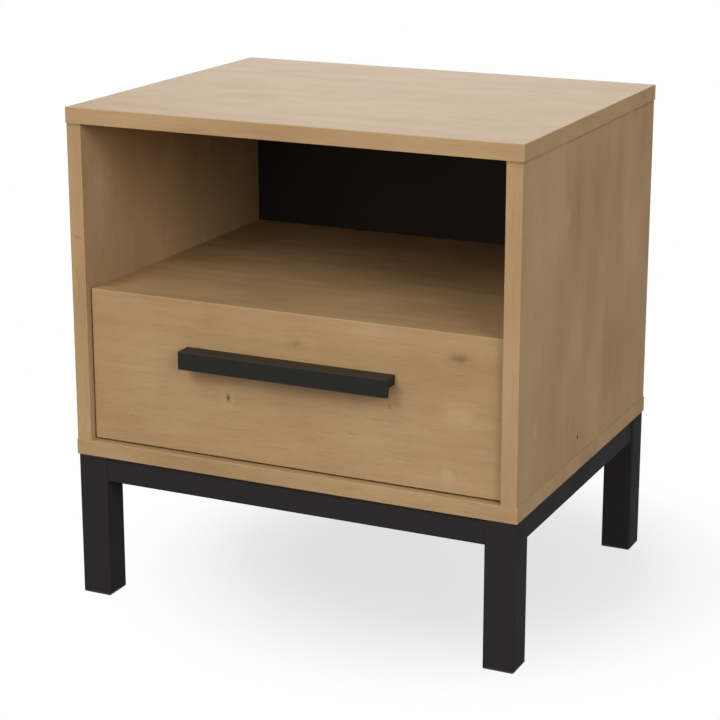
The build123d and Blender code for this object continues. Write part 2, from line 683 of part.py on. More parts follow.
def drawer_member():
    section = bent(bar_section(INNER_TIP, RUNNER_THICKNESS, INNER_HALF), -1)
    section -= bar_section(INNER_TIP, INNER_WEB, INNER_HALF - RUNNER_WALL)
    channel = drawn_back(section - races(INNER_ROW), RUNNER_FRONT, SLIDING_LENGTH)
    screws = [runner_screw(*seat, room=FIT) for seat in drawer_runner_seats(LEFT)]
    return channel - screws - spare_slots(INNER_WEB)


def ball_ys():
    middle = RUNNER_FRONT + RUNNER_LENGTH / 2
    reach = CAGE_LENGTH / 2 - CAGE_BALL_MARGIN
    return spread(middle - reach, middle + reach, BALLS_PER_ROW)


def ball_cage(web, row):
    """Thin channel that keeps an upper and a lower row of balls apart."""
    distance, height = row
    hole = BALL_DIAMETER / 2 + CAGE_PLAY
    tip = distance + hole + CAGE_LIP
    section = bar_section(web, tip, height + CAGE_WALL / 2)
    section -= bar_section(web + CAGE_WALL, tip, height - CAGE_WALL / 2)
    front = RUNNER_FRONT + (RUNNER_LENGTH - CAGE_LENGTH) / 2
    x = -SIDE_INNER + distance
    holes = [peg(Vector(x, y, RUNNER_Z), UP, hole, OUTER_HALF, OUTER_HALF) for y in ball_ys()]
    return drawn_back(section, front, CAGE_LENGTH) - holes


def balls(row):
    distance, height = row
    x = -SIDE_INNER + distance
    levels = (RUNNER_Z - height, RUNNER_Z + height)
    return [Pos(x, y, z) * Sphere(BALL_DIAMETER / 2) for y in ball_ys() for z in levels]


def bumper():
    """Rubber stop at the rear end of the cabinet member."""
    near, far = RUNNER_WALL, FLANGE_TIP
    size = (far - near, 2 * (OUTER_HALF - RUNNER_WALL - BUMPER_PLAY))
    section = Pos(-SIDE_INNER + (near + far) / 2, RUNNER_Z) * RectangleRounded(*size, BUMPER_CORNER)
    return drawn_back(section, RUNNER_REAR - BUMPER_LENGTH, BUMPER_LENGTH)


def left_runner():
    return {
        "runner_cabinet_member": cabinet_member(),
        "runner_middle_member": middle_member(),
        "runner_drawer_member": drawer_member(),
        "outer_ball_cage": ball_cage(OUTER_CAGE_WEB, OUTER_ROW),
        "outer_balls": Compound(balls(OUTER_ROW)),
        "inner_ball_cage": ball_cage(INNER_CAGE_WEB, INNER_ROW),
        "inner_balls": Compound(balls(INNER_ROW)),
        "runner_bumper": bumper(),
    }


# Nodes


def carcass_nodes():
    return {
        "top_panel": top_panel(),
        "bottom_panel": bottom_panel(),
        "left_side_panel": side_panel(LEFT),
        "right_side_panel": side_panel(RIGHT),
        "shelf_panel": shelf_panel(),
        "back_panel": back_space(0),
        "top_dowels": Compound([dowel(*seat) for seat in both_sides(top_dowel_seats)]),
        "bottom_dowels": Compound([dowel(*seat) for seat in both_sides(bottom_dowel_seats)]),
        "shelf_dowels": Compound([dowel(*seat) for seat in both_sides(shelf_dowel_seats)]),
        "bottom_confirmat_screws": Compound([confirmat(*seat) for seat in both_sides(confirmat_seats)]),
        "shelf_cam_bolts": Compound([cam_bolt(*seat) for seat in both_sides(shelf_cam_seats)]),
        "shelf_cam_discs": Compound(
            [cam_disc(*seat, DOWN, BOARD) for seat in both_sides(shelf_cam_seats)]
        ),
    }


def base_nodes():
    nodes = {"base_screws": Compound(base_screws())}
    for end_name, end in ENDS.items():
        nodes[f"{end_name}_rail"] = cross_rail(end)
        for side_name, side in SIDES.items():
            corner = f"{end_name}_{side_name}"
            nodes[f"{corner}_leg"] = leg(side, end)
            nodes[f"{corner}_corner_plate"] = corner_plate(side, end)
            nodes[f"{corner}_glide"] = glide(side, end)
    for side_name, side in SIDES.items():
        nodes[f"{side_name}_rail"] = side_rail(side)
    return nodes


def drawer_nodes():
    cams = [
        cam_disc(*seat, outward(side), DRAWER_BOARD)
        for side in SIDES.values()
        for seat in drawer_cam_seats(side)
    ]
    return {
        "drawer_front": drawer_front(),
        "drawer_left_side": drawer_side(LEFT),
        "drawer_right_side": drawer_side(RIGHT),
        "drawer_back": drawer_back(),
        "drawer_bottom": drawer_bottom_space(0),
        "drawer_dowels": Compound([drawer_dowel(*seat) for seat in both_sides(drawer_dowel_seats)]),
        "drawer_cam_bolts": Compound([cam_bolt(*seat) for seat in both_sides(drawer_cam_seats)]),
        "drawer_cam_discs": Compound(cams),
        "drawer_back_screws": Compound([back_screw(*seat) for seat in both_sides(back_screw_seats)]),
        "handle": handle(),
        "handle_screws": Compound(handle_screws()),
    }


def runner_nodes():
    nodes = {
        "cabinet_runner_screws": Compound([runner_screw(*seat) for seat in both_sides(cabinet_runner_seats)]),
        "drawer_runner_screws": Compound([runner_screw(*seat) for seat in both_sides(drawer_runner_seats)]),
    }
    for name, shape in left_runner().items():
        nodes[f"left_{name}"] = shape
        nodes[f"right_{name}"] = mirror(shape, about=Plane.YZ)
    return nodes


os.makedirs("parts", exist_ok=True)
for name, shape in {**carcass_nodes(), **base_nodes(), **drawer_nodes(), **runner_nodes()}.items():
    export_step(shape, f"parts/{name}.step")
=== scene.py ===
import math
from typing import NamedTuple

import bmesh
import bpy
import numpy as np
from bpy.props import FloatProperty, FloatVectorProperty, PointerProperty
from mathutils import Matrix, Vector


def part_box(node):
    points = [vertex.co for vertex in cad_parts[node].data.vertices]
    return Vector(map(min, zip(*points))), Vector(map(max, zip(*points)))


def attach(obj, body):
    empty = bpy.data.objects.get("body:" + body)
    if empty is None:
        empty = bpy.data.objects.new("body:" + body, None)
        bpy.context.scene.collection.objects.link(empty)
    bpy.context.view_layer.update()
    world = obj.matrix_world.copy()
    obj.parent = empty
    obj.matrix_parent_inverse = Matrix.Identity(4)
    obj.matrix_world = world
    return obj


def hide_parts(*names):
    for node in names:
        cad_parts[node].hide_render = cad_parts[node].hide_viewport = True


bl_info = {
    "name": "Nightstand Looks",
    "version": (1, 0, 0),
    "blender": (4, 5, 0),
    "location": "3D View > Sidebar > Nightstand",
    "description": "Finishes, small hardware and a studio for the nightstand's solids",
    "category": "Object",
}

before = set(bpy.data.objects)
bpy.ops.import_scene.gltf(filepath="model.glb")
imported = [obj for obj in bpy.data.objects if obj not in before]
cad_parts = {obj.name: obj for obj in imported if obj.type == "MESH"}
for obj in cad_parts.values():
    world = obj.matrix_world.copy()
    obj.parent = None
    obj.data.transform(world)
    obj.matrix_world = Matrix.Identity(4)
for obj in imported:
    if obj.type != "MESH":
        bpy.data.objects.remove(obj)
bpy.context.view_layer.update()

MM = 0.001
MERGE_DISTANCE = 2e-7  # points of a grid that are closer than this are one point
SHARP_ANGLE = math.radians(35.0)
STAND_IN_MISFIT = 0.1 * MM  # most that a piece may differ from the box of the node it replaces
SIDES = {"left": -1, "right": 1}
ENDS = {"front": -1, "rear": 1}
X_AXIS, Y_AXIS, Z_AXIS = np.eye(3)

# Bodies of the frame that pieces ride on
CABINET, DRAWER = "cabinet", "drawer"


def faces(node):
    """Lowest and highest corner of a node's box, as two rows."""
    return np.array(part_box(node))


def on_both_sides(names):
    """Names of nodes that come as a left and a right one."""
    return [f"{side}_{name}" for side in SIDES for name in names]


def at_all_corners(name):
    """Names of nodes that come once for each corner of the base."""
    return [f"{end}_{side}_{name}" for end in ENDS for side in SIDES]


# Settings


def colour(name, description, default):
    """Property that holds a linear colour."""
    return FloatVectorProperty(
        name=name, description=description, default=default, subtype="COLOR", size=3, min=0.0, max=1.0
    )


def length(name, description, default):
    """Property that holds a length in metres."""
    return FloatProperty(name=name, description=description, default=default, unit="LENGTH", precision=5)


def share(name, description, default):
    """Property that holds a share between 0 and 1."""
    return FloatProperty(
        name=name, description=description, default=default, subtype="FACTOR", min=0.0, max=1.0
    )


def place(name, description, default):
    """Property that holds a point in metres."""
    return FloatVectorProperty(
        name=name, description=description, default=default, subtype="TRANSLATION", unit="LENGTH"
    )


def power(name, description, default):
    """Property that holds a lamp's power in watts."""
    return FloatProperty(name=name, description=description, default=default, unit="POWER", min=0.0)


def angle(name, description, degrees):
    """Property that holds an angle, its default given in degrees."""
    return FloatProperty(
        name=name, description=description, default=math.radians(degrees), subtype="ANGLE"
    )


class OakLook(bpy.types.PropertyGroup):
    """Colours and figure of the knotty oak boards"""

    pale: colour("Sapwood", "Lightest streaks", (0.485, 0.324, 0.172))
    base: colour("Base", "Colour of most of a board", (0.42, 0.269, 0.134))
    dark: colour("Heartwood", "Darker clouds and streaks", (0.352, 0.216, 0.1))
    knot: colour("Knot", "Middle of a dark knot", (0.085, 0.045, 0.02))
    pore: colour("Pore", "Open pores along the grain", (0.26, 0.15, 0.07))
    ring_pitch: length("Ring pitch", "Distance between growth rings", 0.0075)
    # the edges' lighter tone is partly wear and partly a painted highlight
    edge_wear_and_highlight_width: length("Edge width", "Width of the softened tone along the edges", 0.0016)
    edge_wear_and_highlight: share("Edge tone", "How much the edges lighten", 0.35)
    roughness: share("Roughness", "Roughness of the lacquer between the pores", 0.52)
    specular: share("Specular", "Strength of the lacquer's reflection", 0.045)


class CoatLook(bpy.types.PropertyGroup):
    """Black coats of the base, the handle and the back panel"""

    steel: colour("Base coat", "Powder coat of legs and rails", (0.0275, 0.025, 0.0257))
    handle: colour("Handle coat", "Coat of the handle", (0.0165, 0.016, 0.0138))
    panel: colour("Panel paint", "Paint of the back panel", (0.019, 0.0148, 0.0117))
    edge: colour("Edge tone", "Coat where it thins over an edge", (0.045, 0.043, 0.042))
    edge_width: length("Edge width", "Width of the thinned coat", 0.0012)
    grain: length("Coat grain", "Size of the powder coat's fine texture", 0.0007)


class DrawerLook(bpy.types.PropertyGroup):
    """Plain boards of the drawer box, and the dowels"""

    board: colour("Drawer board", "Wood-effect foil of the drawer box", (0.52, 0.42, 0.31))
    streak: colour("Drawer streak", "Darker streaks of that foil", (0.43, 0.335, 0.24))
    hardboard: colour("Hardboard", "Drawer bottom", (0.55, 0.49, 0.41))
    beech: colour("Beech", "Wooden dowels", (0.58, 0.4, 0.24))
    fleck: colour("Beech fleck", "Short flecks in the beech", (0.36, 0.21, 0.11))


class HardwareLook(bpy.types.PropertyGroup):
    """Metal, plastic and rubber of runners, fasteners and feet"""

    zinc: colour("Runner zinc", "Zinc plate of the runners", (0.55, 0.56, 0.57))
    screw: colour("Screw zinc", "Zinc plate of screws and bolts", (0.56, 0.56, 0.55))
    casting: colour("Cast zinc", "Cams of the connecting bolts", (0.5, 0.5, 0.49))
    bearing: colour("Bearing steel", "Runner balls", (0.62, 0.62, 0.62))
    plastic: colour("Plastic", "Foot glides and release levers", (0.015, 0.015, 0.015))
    rubber: colour("Rubber", "Runner bumpers and stop pads", (0.02, 0.02, 0.02))
    bead: length("Weld bead", "Radius of a weld bead", 0.0015)
    ripple: length("Weld ripple", "Distance between a bead's ripples", 0.0017)


class StageLook(bpy.types.PropertyGroup):
    """Camera, lamps and floor"""

    camera: place("Camera", "Place of the camera", (0.81737, -1.74941, 0.78415))
    heading: angle("Heading", "Turn of the camera about the vertical", 25.192)
    tilt: angle("Tilt", "How far the camera looks down", 14.996)
    lens: FloatProperty(name="Lens", description="Focal length", default=102.84, subtype="DISTANCE_CAMERA")
    shift_x: FloatProperty(name="Shift X", description="Sideways shift of the frame", default=-0.003)
    shift_y: FloatProperty(name="Shift Y", description="Upward shift of the frame", default=-0.069)
    key: power("Key", "Broad lamp in front, to the left and above", 39.5)
    fill: power("Fill", "Broad lamp in front, to the right", 54.5)
    low: power("Low", "Broad lower lamp in front", 18.5)
    back: power("Back", "Broad lamp behind, to the left", 47.5)
    ambient: share("Ambient", "Light from all round", 0.22)
    floor: colour("Floor", "Floor colour", (0.3, 0.3, 0.303))
    floor_lift: share("Floor lift", "Share of plain white in the floor near the part", 0.72)
    floor_middle: place("Floor middle", "Middle of the shadow on the floor", (0.06, 0.05, 0.0))
    floor_near: length("Floor near", "Distance at which the floor starts to turn plain white", 0.12)
    floor_far: length("Floor far", "Distance at which the floor is plain white", 0.35)


# Materials


NOISE_MIDDLE = 0.5  # mean of a noise
PLAIN, SOFT, FINE, FINEST = 1.0, 2.0, 3.0, 4.0  # detail of a noise
ROUGH_SPREAD = (0.3, 0.7)  # noise over which a roughness changes
TONE_SPREAD = (0.35, 0.65)  # noise over which a colour changes
STREAK_SPREAD = (0.35, 0.7)  # the same, with less of the second colour


class Finish:
    """A procedural material, with short calls that add nodes and wire them."""

    def __init__(self, name):
        self.material = bpy.data.materials.new(name)
        self.material.use_nodes = True
        self.tree = self.material.node_tree
        self.tree.nodes.clear()
        self.output = self.node("ShaderNodeOutputMaterial")
        self.shader = self.node("ShaderNodeBsdfPrincipled")
        self.tree.links.new(self.shader.outputs["BSDF"], self.output.inputs["Surface"])
        self.point = self.node("ShaderNodeTexCoord").outputs["Object"]

    def node(self, kind, **settings):
        """New node with its settings."""
        made = self.tree.nodes.new(kind)
        for name, value in settings.items():
            setattr(made, name, value)
        return made

    def feed(self, socket, value):
        """Wires a socket to another node's output, or sets it to a plain value."""
        if isinstance(value, bpy.types.NodeSocket):
            self.tree.links.new(value, socket)
        elif socket.type == "RGBA":
            socket.default_value = (*value, 1.0)
        else:
            socket.default_value = value

    def surface(self, **sockets):
        """Feeds sockets of the shader; base_color stands for Base Color, and so on."""
        names = {name.lower().replace(" ", "_"): name for name in self.shader.inputs.keys()}
        for key, value in sockets.items():
            self.feed(self.shader.inputs[names[key]], value)

    def math(self, operation, a, b):
        """Result of an operation on two numbers."""
        made = self.node("ShaderNodeMath", operation=operation)
        self.feed(made.inputs[0], a)
        self.feed(made.inputs[1], b)
        return made.outputs[0]

    def plus(self, total, part, weight):
        """A total with a weighted part added."""
        return self.math("ADD", total, self.math("MULTIPLY", part, weight))

    def about_zero(self, noise, weight):
        """Noise moved to lie about zero, times a weight."""
        return self.math("MULTIPLY", self.math("SUBTRACT", noise, NOISE_MIDDLE), weight)

    def vector(self, operation, a, b=(0.0, 0.0, 0.0)):
        """Result of an operation on one or two vectors; a length comes out as a number."""
        made = self.node("ShaderNodeVectorMath", operation=operation)
        self.feed(made.inputs[0], a)
        self.feed(made.inputs[1], b)
        return made.outputs["Value" if operation == "LENGTH" else "Vector"]

    def ramp(self, value, low, high, start=0.0, end=1.0):
        """Eases from start to end while a value goes from low to high."""
        made = self.node("ShaderNodeMapRange", interpolation_type="SMOOTHSTEP")
        for socket, number in zip(made.inputs, (value, low, high, start, end)):
            self.feed(socket, number)
        return made.outputs[0]

    def blend(self, factor, a, b):
        """Colour between a and b."""
        made = self.node("ShaderNodeMix", data_type="RGBA")
        colours = [socket for socket in made.inputs if socket.type == "RGBA"]
        self.feed(made.inputs[0], factor)
        self.feed(colours[0], a)
        self.feed(colours[1], b)
        return next(socket for socket in made.outputs if socket.type == "RGBA")

    def noise_node(self, point, scale, detail):
        """Noise texture with its own number of repeats per metre along each axis."""
        made = self.node("ShaderNodeTexNoise")
        self.feed(made.inputs["Vector"], self.vector("MULTIPLY", point, scale))
        self.feed(made.inputs["Scale"], 1.0)
        self.feed(made.inputs["Detail"], detail)
        return made

    def noise(self, point, scale, detail):
        """Noise between 0 and 1 with its own number of repeats per metre along each axis."""
        return self.noise_node(point, scale, detail).outputs[0]

    def even_noise(self, repeats, detail):
        """Noise with the same number of repeats per metre along all axes."""
        return self.noise(self.point, (repeats, repeats, repeats), detail)

    def swing(self, point, layer, reach):
        """Point moved by a noise, by up to half the reach each way along each axis."""
        noise = self.noise_node(point, layer.scale, layer.detail).outputs[1]
        swung = self.vector("SUBTRACT", noise, (NOISE_MIDDLE, NOISE_MIDDLE, NOISE_MIDDLE))
        return self.vector("ADD", point, self.vector("MULTIPLY", swung, reach))

    def turned(self, shift, rotation):
        """Object coordinates after a turn and a shift."""
        made = self.node("ShaderNodeMapping")
        self.feed(made.inputs["Vector"], self.point)
        self.feed(made.inputs["Location"], shift)
        self.feed(made.inputs["Rotation"], rotation)
        return made.outputs[0]

    def parts(self, point):
        """The three coordinates of a point."""
        made = self.node("ShaderNodeSeparateXYZ")
        self.feed(made.inputs[0], point)
        return made.outputs

    def colours(self, value, stops):
        """Colour ramp through (position, colour) stops."""
        made = self.node("ShaderNodeValToRGB")
        self.feed(made.inputs[0], value)
        elements = made.color_ramp.elements
        while len(elements) < len(stops):
            elements.new(1.0)
        for element, (position, tone) in zip(elements, stops):
            element.position = position
            element.color = (*tone, 1.0)
        return made.outputs[0]

    def bump(self, height, depth):
        """Relief of a given depth in metres, straight into the shader's normal."""
        made = self.node("ShaderNodeBump")
        self.feed(made.inputs["Height"], height)
        self.feed(made.inputs["Distance"], depth)
        self.feed(made.inputs["Strength"], 1.0)
        self.surface(normal=made.outputs[0])

    def edges(self, node, width):
        """1 on the edges of a box-shaped node, falling to 0 a given width away from them."""
        low, high = faces(node)
        offset = self.vector("SUBTRACT", self.point, (low + high) / 2)
        depth = self.vector("SUBTRACT", (high - low) / 2, self.vector("ABSOLUTE", offset))
        x, y, z = self.parts(depth)
        lesser = self.math("MINIMUM", x, y)
        greater = self.math("MAXIMUM", x, y)
        second = self.math("MAXIMUM", lesser, self.math("MINIMUM", greater, z))
        return self.ramp(second, 0.0, width, 1.0, 0.0)


class Layer(NamedTuple):
    """One layer of wood figure: repeats per metre along and across the grain, detail and weight."""

    along: float
    across: float
    detail: float
    weight: float

    @property
    def scale(self):
        """Repeats per metre in the wood, whose grain runs along X."""
        return (self.along, self.across, self.across)


class Board(NamedTuple):
    """Wood of one oak board: turn and shift in it, mean tone, strength of figure, streaks and rings; the
    mean tone also holds painted light on the top board and painted shade on the shelf board.
    """

    turn: tuple
    shift: tuple
    tone: float
    figure: float
    streaks: Layer
    rings: float


class Mark(NamedTuple):
    """Knot, fleck or patch of painted shade: its middle, its reach along each axis, and the tone that it
    adds.
    """

    middle: tuple
    reach: tuple
    tone: float


LYING = (0.0, 0.0, 0.0)
UPRIGHT = (0.0, math.pi / 2, 0.0)  # turns the vertical into the direction of the grain
OAK_CLOUDS = Layer(8.0, 17.0, FINE, 0.66)
OAK_STREAKS = Layer(4.0, 60.0, FINE, 0.21)
OAK_BROAD_STREAKS = Layer(3.0, 36.0, SOFT, 0.23)
OAK_FIBRES = Layer(14.0, 420.0, FINE, 0.09)
OAK_PORES = Layer(40.0, 1500.0, SOFT, 0.14)
OAK_SWAY = Layer(2.2, 7.0, SOFT, 0.04)  # its weight is the sway of the grain in metres
OAK_PITH = (0.0, 0.11, 0.16)  # middle of the growth rings, away from the boards
OAK_STOPS = (0.0, 0.3, 0.5, 0.72)  # tones of knot, heartwood, base and sapwood
CLEAR_RINGS, FAINT_RINGS = 0.05, 0.015
ACROSS_GRAIN = (0.0, 1.0, 1.0)
# these knot settings shape every mark, also the painted shade on the top board's front edge
KNOT_FRAY = Layer(120.0, 120.0, SOFT, 0.004)  # its weight is the raggedness of a knot in metres
KNOT_SWELL = 0.012  # how far a knot pushes the growth rings aside, in metres
KNOT_HALO = (0.9, 1.35, 2.2)  # start, middle and end of a knot's halo, in reaches
KNOT_HALO_TONE = -0.15  # of the knot's tone
PAINTED_SHADE_REACH = 0.004  # reach of the shade painted on the side boards under the top board, in metres
# tone of that painted shade, darkest right under the top board
PAINTED_SHADE_TONE = -0.32
PORE_OPENING = (0.6, 0.72)  # noise between which a pore opens
PORE_DEPTH = 0.00012
PORE_ROUGHNESS = 0.62

OAK_BOARDS = {
    # the top board's raised tone is painted light on its upper face
    "top_panel": Board(LYING, (0.31, 0.12, 0.0), 0.55, 0.6, OAK_STREAKS, CLEAR_RINGS),
    "bottom_panel": Board(LYING, (1.74, 0.33, 0.2), 0.52, 1.0, OAK_STREAKS, CLEAR_RINGS),
    # the shelf board's lower tone is painted shade from the top board over the niche
    "shelf_panel": Board(LYING, (2.63, 0.71, 0.4), 0.42, 1.0, OAK_STREAKS, CLEAR_RINGS),
    "drawer_front": Board(LYING, (3.37, 0.26, 0.62), 0.5, 1.0, OAK_STREAKS, CLEAR_RINGS),
    "left_side_panel": Board(UPRIGHT, (4.51, 0.47, 0.1), 0.5, 1.0, OAK_BROAD_STREAKS, FAINT_RINGS),
    "right_side_panel": Board(UPRIGHT, (5.22, 0.93, 0.3), 0.5, 1.0, OAK_BROAD_STREAKS, FAINT_RINGS),
}
OAK_MARKS = {
    "top_panel": [
        Mark((-0.151, 0.113, 0.476), (0.026, 0.02, 0.02), -0.16),
        Mark((-0.098, -0.041, 0.476), (0.03, 0.024, 0.02), -0.12),
        # painted shade: darkens the top board's front edge below the top face's raised tone
        Mark((-0.005, -0.174, 0.469), (0.1, 0.012, 0.03), -0.16),
    ],
    "drawer_front": [
        Mark((-0.063, -0.167, 0.217), (0.0034, 0.02, 0.0068), -0.45),
        Mark((0.0998, -0.167, 0.2306), (0.0022, 0.02, 0.004), -0.3),
        Mark((0.166, -0.167, 0.283), (0.016, 0.03, 0.008), -0.2),
        Mark((0.007, -0.167, 0.2765), (0.012, 0.03, 0.007), -0.2),
        Mark((0.1673, -0.167, 0.2301), (0.024, 0.03, 0.012), 0.12),
        Mark((0.1557, -0.167, 0.1749), (0.006, 0.03, 0.014), 0.18),
    ],
    "left_side_panel": [
        Mark((-0.217, -0.174, 0.3547), (0.008, 0.004, 0.0025), -0.3),
    ],
    "right_side_panel": [
        Mark((0.224, -0.017, 0.1746), (0.02, 0.0026, 0.004), -0.75),
        Mark((0.224, -0.058, 0.392), (0.02, 0.009, 0.014), 0.2),
        Mark((0.224, -0.1305, 0.2147), (0.02, 0.008, 0.011), 0.18),
        Mark((0.224, 0.037, 0.307), (0.02, 0.006, 0.018), -0.12),
    ],
}


def figure_tone(finish, board, wood):
    """Tone of a board's clouds, streaks and fibres about its mean tone."""
    tone = board.tone
    for layer in (OAK_CLOUDS, board.streaks, OAK_FIBRES):
        noise = finish.noise(wood, layer.scale, layer.detail)
        tone = finish.math("ADD", tone, finish.about_zero(noise, layer.weight * board.figure))
    return tone


def knot_and_shade_shape(finish, mark, frayed):
    """The core of a knot or of a patch of painted shade, which falls from 1 in its middle to 0 at its
    reach, and the halo around it.
    """
    offset = finish.vector("DIVIDE", finish.vector("SUBTRACT", frayed, mark.middle), mark.reach)
    distance = finish.vector("LENGTH", offset)
    core = finish.ramp(distance, 0.0, 1.0, 1.0, 0.0)
    start, middle, end = KNOT_HALO
    rise = finish.ramp(distance, start, middle)
    fall = finish.ramp(distance, middle, end, 1.0, 0.0)
    return core, finish.math("MULTIPLY", rise, fall)


def ring_tone(finish, radius, pitch, strength):
    """Tone of the growth rings: a wave up and down with the distance from the pith."""
    wave = finish.math("DIVIDE", finish.math("PINGPONG", radius, pitch), pitch)
    return finish.about_zero(wave, strength)


def painted_shade_under_top(finish, node):
    """Tone of the shade painted on a side board close under the top board, where the top board's overhang
    casts its shadow.
    """
    height = finish.parts(finish.point)[2]
    under = faces(node)[1, 2]
    return finish.ramp(height, under - PAINTED_SHADE_REACH, under, 0.0, PAINTED_SHADE_TONE)


def oak(node, look):
    """Knotty oak: clouds, streaks, rings, fibres and pores along the grain, with placed knots and marks,
    and edges lightened partly as wear and partly as a painted highlight.
    """
    finish = Finish(f"oak_{node}")
    board = OAK_BOARDS[node]
    straight = finish.turned(board.shift, board.turn)
    wood = finish.swing(straight, OAK_SWAY, (0.0, OAK_SWAY.weight, OAK_SWAY.weight))
    tone = figure_tone(finish, board, wood)
    from_pith = finish.vector("MULTIPLY", finish.vector("SUBTRACT", wood, OAK_PITH), ACROSS_GRAIN)
    radius = finish.vector("LENGTH", from_pith)
    frayed = finish.swing(finish.point, KNOT_FRAY, (KNOT_FRAY.weight,) * 3)
    for mark in OAK_MARKS.get(node, []):
        core, halo = knot_and_shade_shape(finish, mark, frayed)
        tone = finish.plus(tone, core, mark.tone)
        tone = finish.plus(tone, halo, KNOT_HALO_TONE * mark.tone)
        radius = finish.plus(radius, core, KNOT_SWELL)
    tone = finish.math("ADD", tone, ring_tone(finish, radius, look.ring_pitch, board.rings))
    # painted shade on the side boards just under the top board
    if node.endswith("side_panel"):
        tone = finish.math("ADD", tone, painted_shade_under_top(finish, node))
    grain = finish.colours(tone, list(zip(OAK_STOPS, (look.knot, look.dark, look.base, look.pale))))
    pores = finish.ramp(finish.noise(straight, OAK_PORES.scale, OAK_PORES.detail), *PORE_OPENING)
    pored = finish.blend(finish.math("MULTIPLY", pores, OAK_PORES.weight), grain, look.pore)
    # edges lightened towards the sapwood colour: partly wear, partly a painted highlight
    worn_and_highlit = finish.math("MULTIPLY", finish.edges(node, look.edge_wear_and_highlight_width), look.edge_wear_and_highlight)
    finish.surface(
        base_color=finish.blend(worn_and_highlit, pored, look.pale),
        roughness=finish.ramp(pores, 0.0, 1.0, look.roughness, PORE_ROUGHNESS),
        specular_ior_level=look.specular,
    )
    finish.bump(finish.math("SUBTRACT", 1.0, pores), PORE_DEPTH)
    return finish.material


class Coat(NamedTuple):
    """Sheen of a black coat."""

    roughness: float
    specular: float


STEEL_COAT = Coat(0.6, 0.015)
HANDLE_COAT = Coat(0.32, 0.1)
PANEL_COAT = Coat(0.6, 0.1)
COAT_MOTTLE = 14.0  # repeats per metre
COAT_SMOOTHER, COAT_ROUGHER = 0.05, 0.06  # how far the mottle changes the roughness
COAT_RELIEF = 0.00006


def coated(name, tone, look, node, coat):
    """Black coat with a fine powder texture, a soft mottle and a thinner tone along the edges."""
    finish = Finish(name)
    grain = finish.even_noise(1.0 / look.grain, FINE)
    mottle = finish.even_noise(COAT_MOTTLE, FINE)
    thin = finish.math("MULTIPLY", finish.edges(node, look.edge_width), mottle)
    smooth, rough = coat.roughness - COAT_SMOOTHER, coat.roughness + COAT_ROUGHER
    finish.surface(
        base_color=finish.blend(thin, tone, look.edge),
        roughness=finish.ramp(mottle, *ROUGH_SPREAD, smooth, rough),
        specular_ior_level=coat.specular,
    )
    finish.bump(grain, COAT_RELIEF)
    return finish.material


FOIL_ALONG, FOIL_ACROSS = 4.0, 110.0  # repeats of the streaks per metre
FOIL_LINES = 12.0  # lines to a streak
FOIL_LINES_WEIGHT = 0.5
FOIL_ROUGHNESS = (0.46, 0.56)
FOIL_RELIEF = 0.00004


def wood_foil(look, node, lengthways):
    """Pale wood-effect foil of the drawer box: long soft streaks and fine lines."""
    finish = Finish(f"foil_{node}")
    scale = tuple(FOIL_ALONG if axis == lengthways else FOIL_ACROSS for axis in range(3))
    streaks = finish.noise(finish.point, scale, FINEST)
    lines = finish.noise(finish.point, tuple(FOIL_LINES * number for number in scale), SOFT)
    tone = finish.math("ADD", streaks, finish.about_zero(lines, FOIL_LINES_WEIGHT))
    finish.surface(
        base_color=finish.blend(finish.ramp(tone, *STREAK_SPREAD), look.board, look.streak),
        roughness=finish.ramp(lines, *ROUGH_SPREAD, *FOIL_ROUGHNESS),
    )
    finish.bump(lines, FOIL_RELIEF)
    return finish.material


def toned(tone, factor):
    """A colour made darker or lighter by a factor."""
    return tuple(factor * part for part in tone)


HARDBOARD_FIBRES = 900.0  # repeats per metre
HARDBOARD_CLOUDS = 18.0
HARDBOARD_SHADE = 0.9
HARDBOARD_ROUGHNESS = (0.55, 0.68)
HARDBOARD_RELIEF = 0.00003


def pressed_board(look):
    """Smooth hardboard: fine pale speckle of pressed fibres."""
    finish = Finish("pressed_hardboard")
    fibres = finish.even_noise(HARDBOARD_FIBRES, FINEST)
    clouds = finish.even_noise(HARDBOARD_CLOUDS, SOFT)
    mean = finish.math("DIVIDE", finish.math("ADD", fibres, clouds), 2.0)
    shade = toned(look.hardboard, HARDBOARD_SHADE)
    finish.surface(
        base_color=finish.blend(finish.ramp(mean, *TONE_SPREAD), shade, look.hardboard),
        roughness=finish.ramp(fibres, *ROUGH_SPREAD, *HARDBOARD_ROUGHNESS),
    )
    finish.bump(fibres, HARDBOARD_RELIEF)
    return finish.material


BEECH_FLECKS = 1400.0  # repeats per metre
BEECH_FLECK_OPENING = (0.6, 0.7)  # noise between which a fleck opens
BEECH_FLECK_WEIGHT = 0.6
BEECH_CLOUDS = 60.0
BEECH_ROUGHNESS = (0.58, 0.7)
BEECH_RELIEF = 0.00005


def beech(look):
    """Beech with short darker flecks."""
    finish = Finish("beech")
    flecks = finish.ramp(finish.even_noise(BEECH_FLECKS, PLAIN), *BEECH_FLECK_OPENING)
    clouds = finish.even_noise(BEECH_CLOUDS, SOFT)
    flecked = finish.math("MULTIPLY", flecks, BEECH_FLECK_WEIGHT)
    finish.surface(
        base_color=finish.blend(flecked, look.beech, look.fleck),
        roughness=finish.ramp(clouds, *ROUGH_SPREAD, *BEECH_ROUGHNESS),
    )
    finish.bump(flecks, BEECH_RELIEF)
    return finish.material


class Plate(NamedTuple):
    """Bright steel: repeats of its fine lines per metre along each axis, and its roughness."""

    lines: tuple
    roughness: tuple


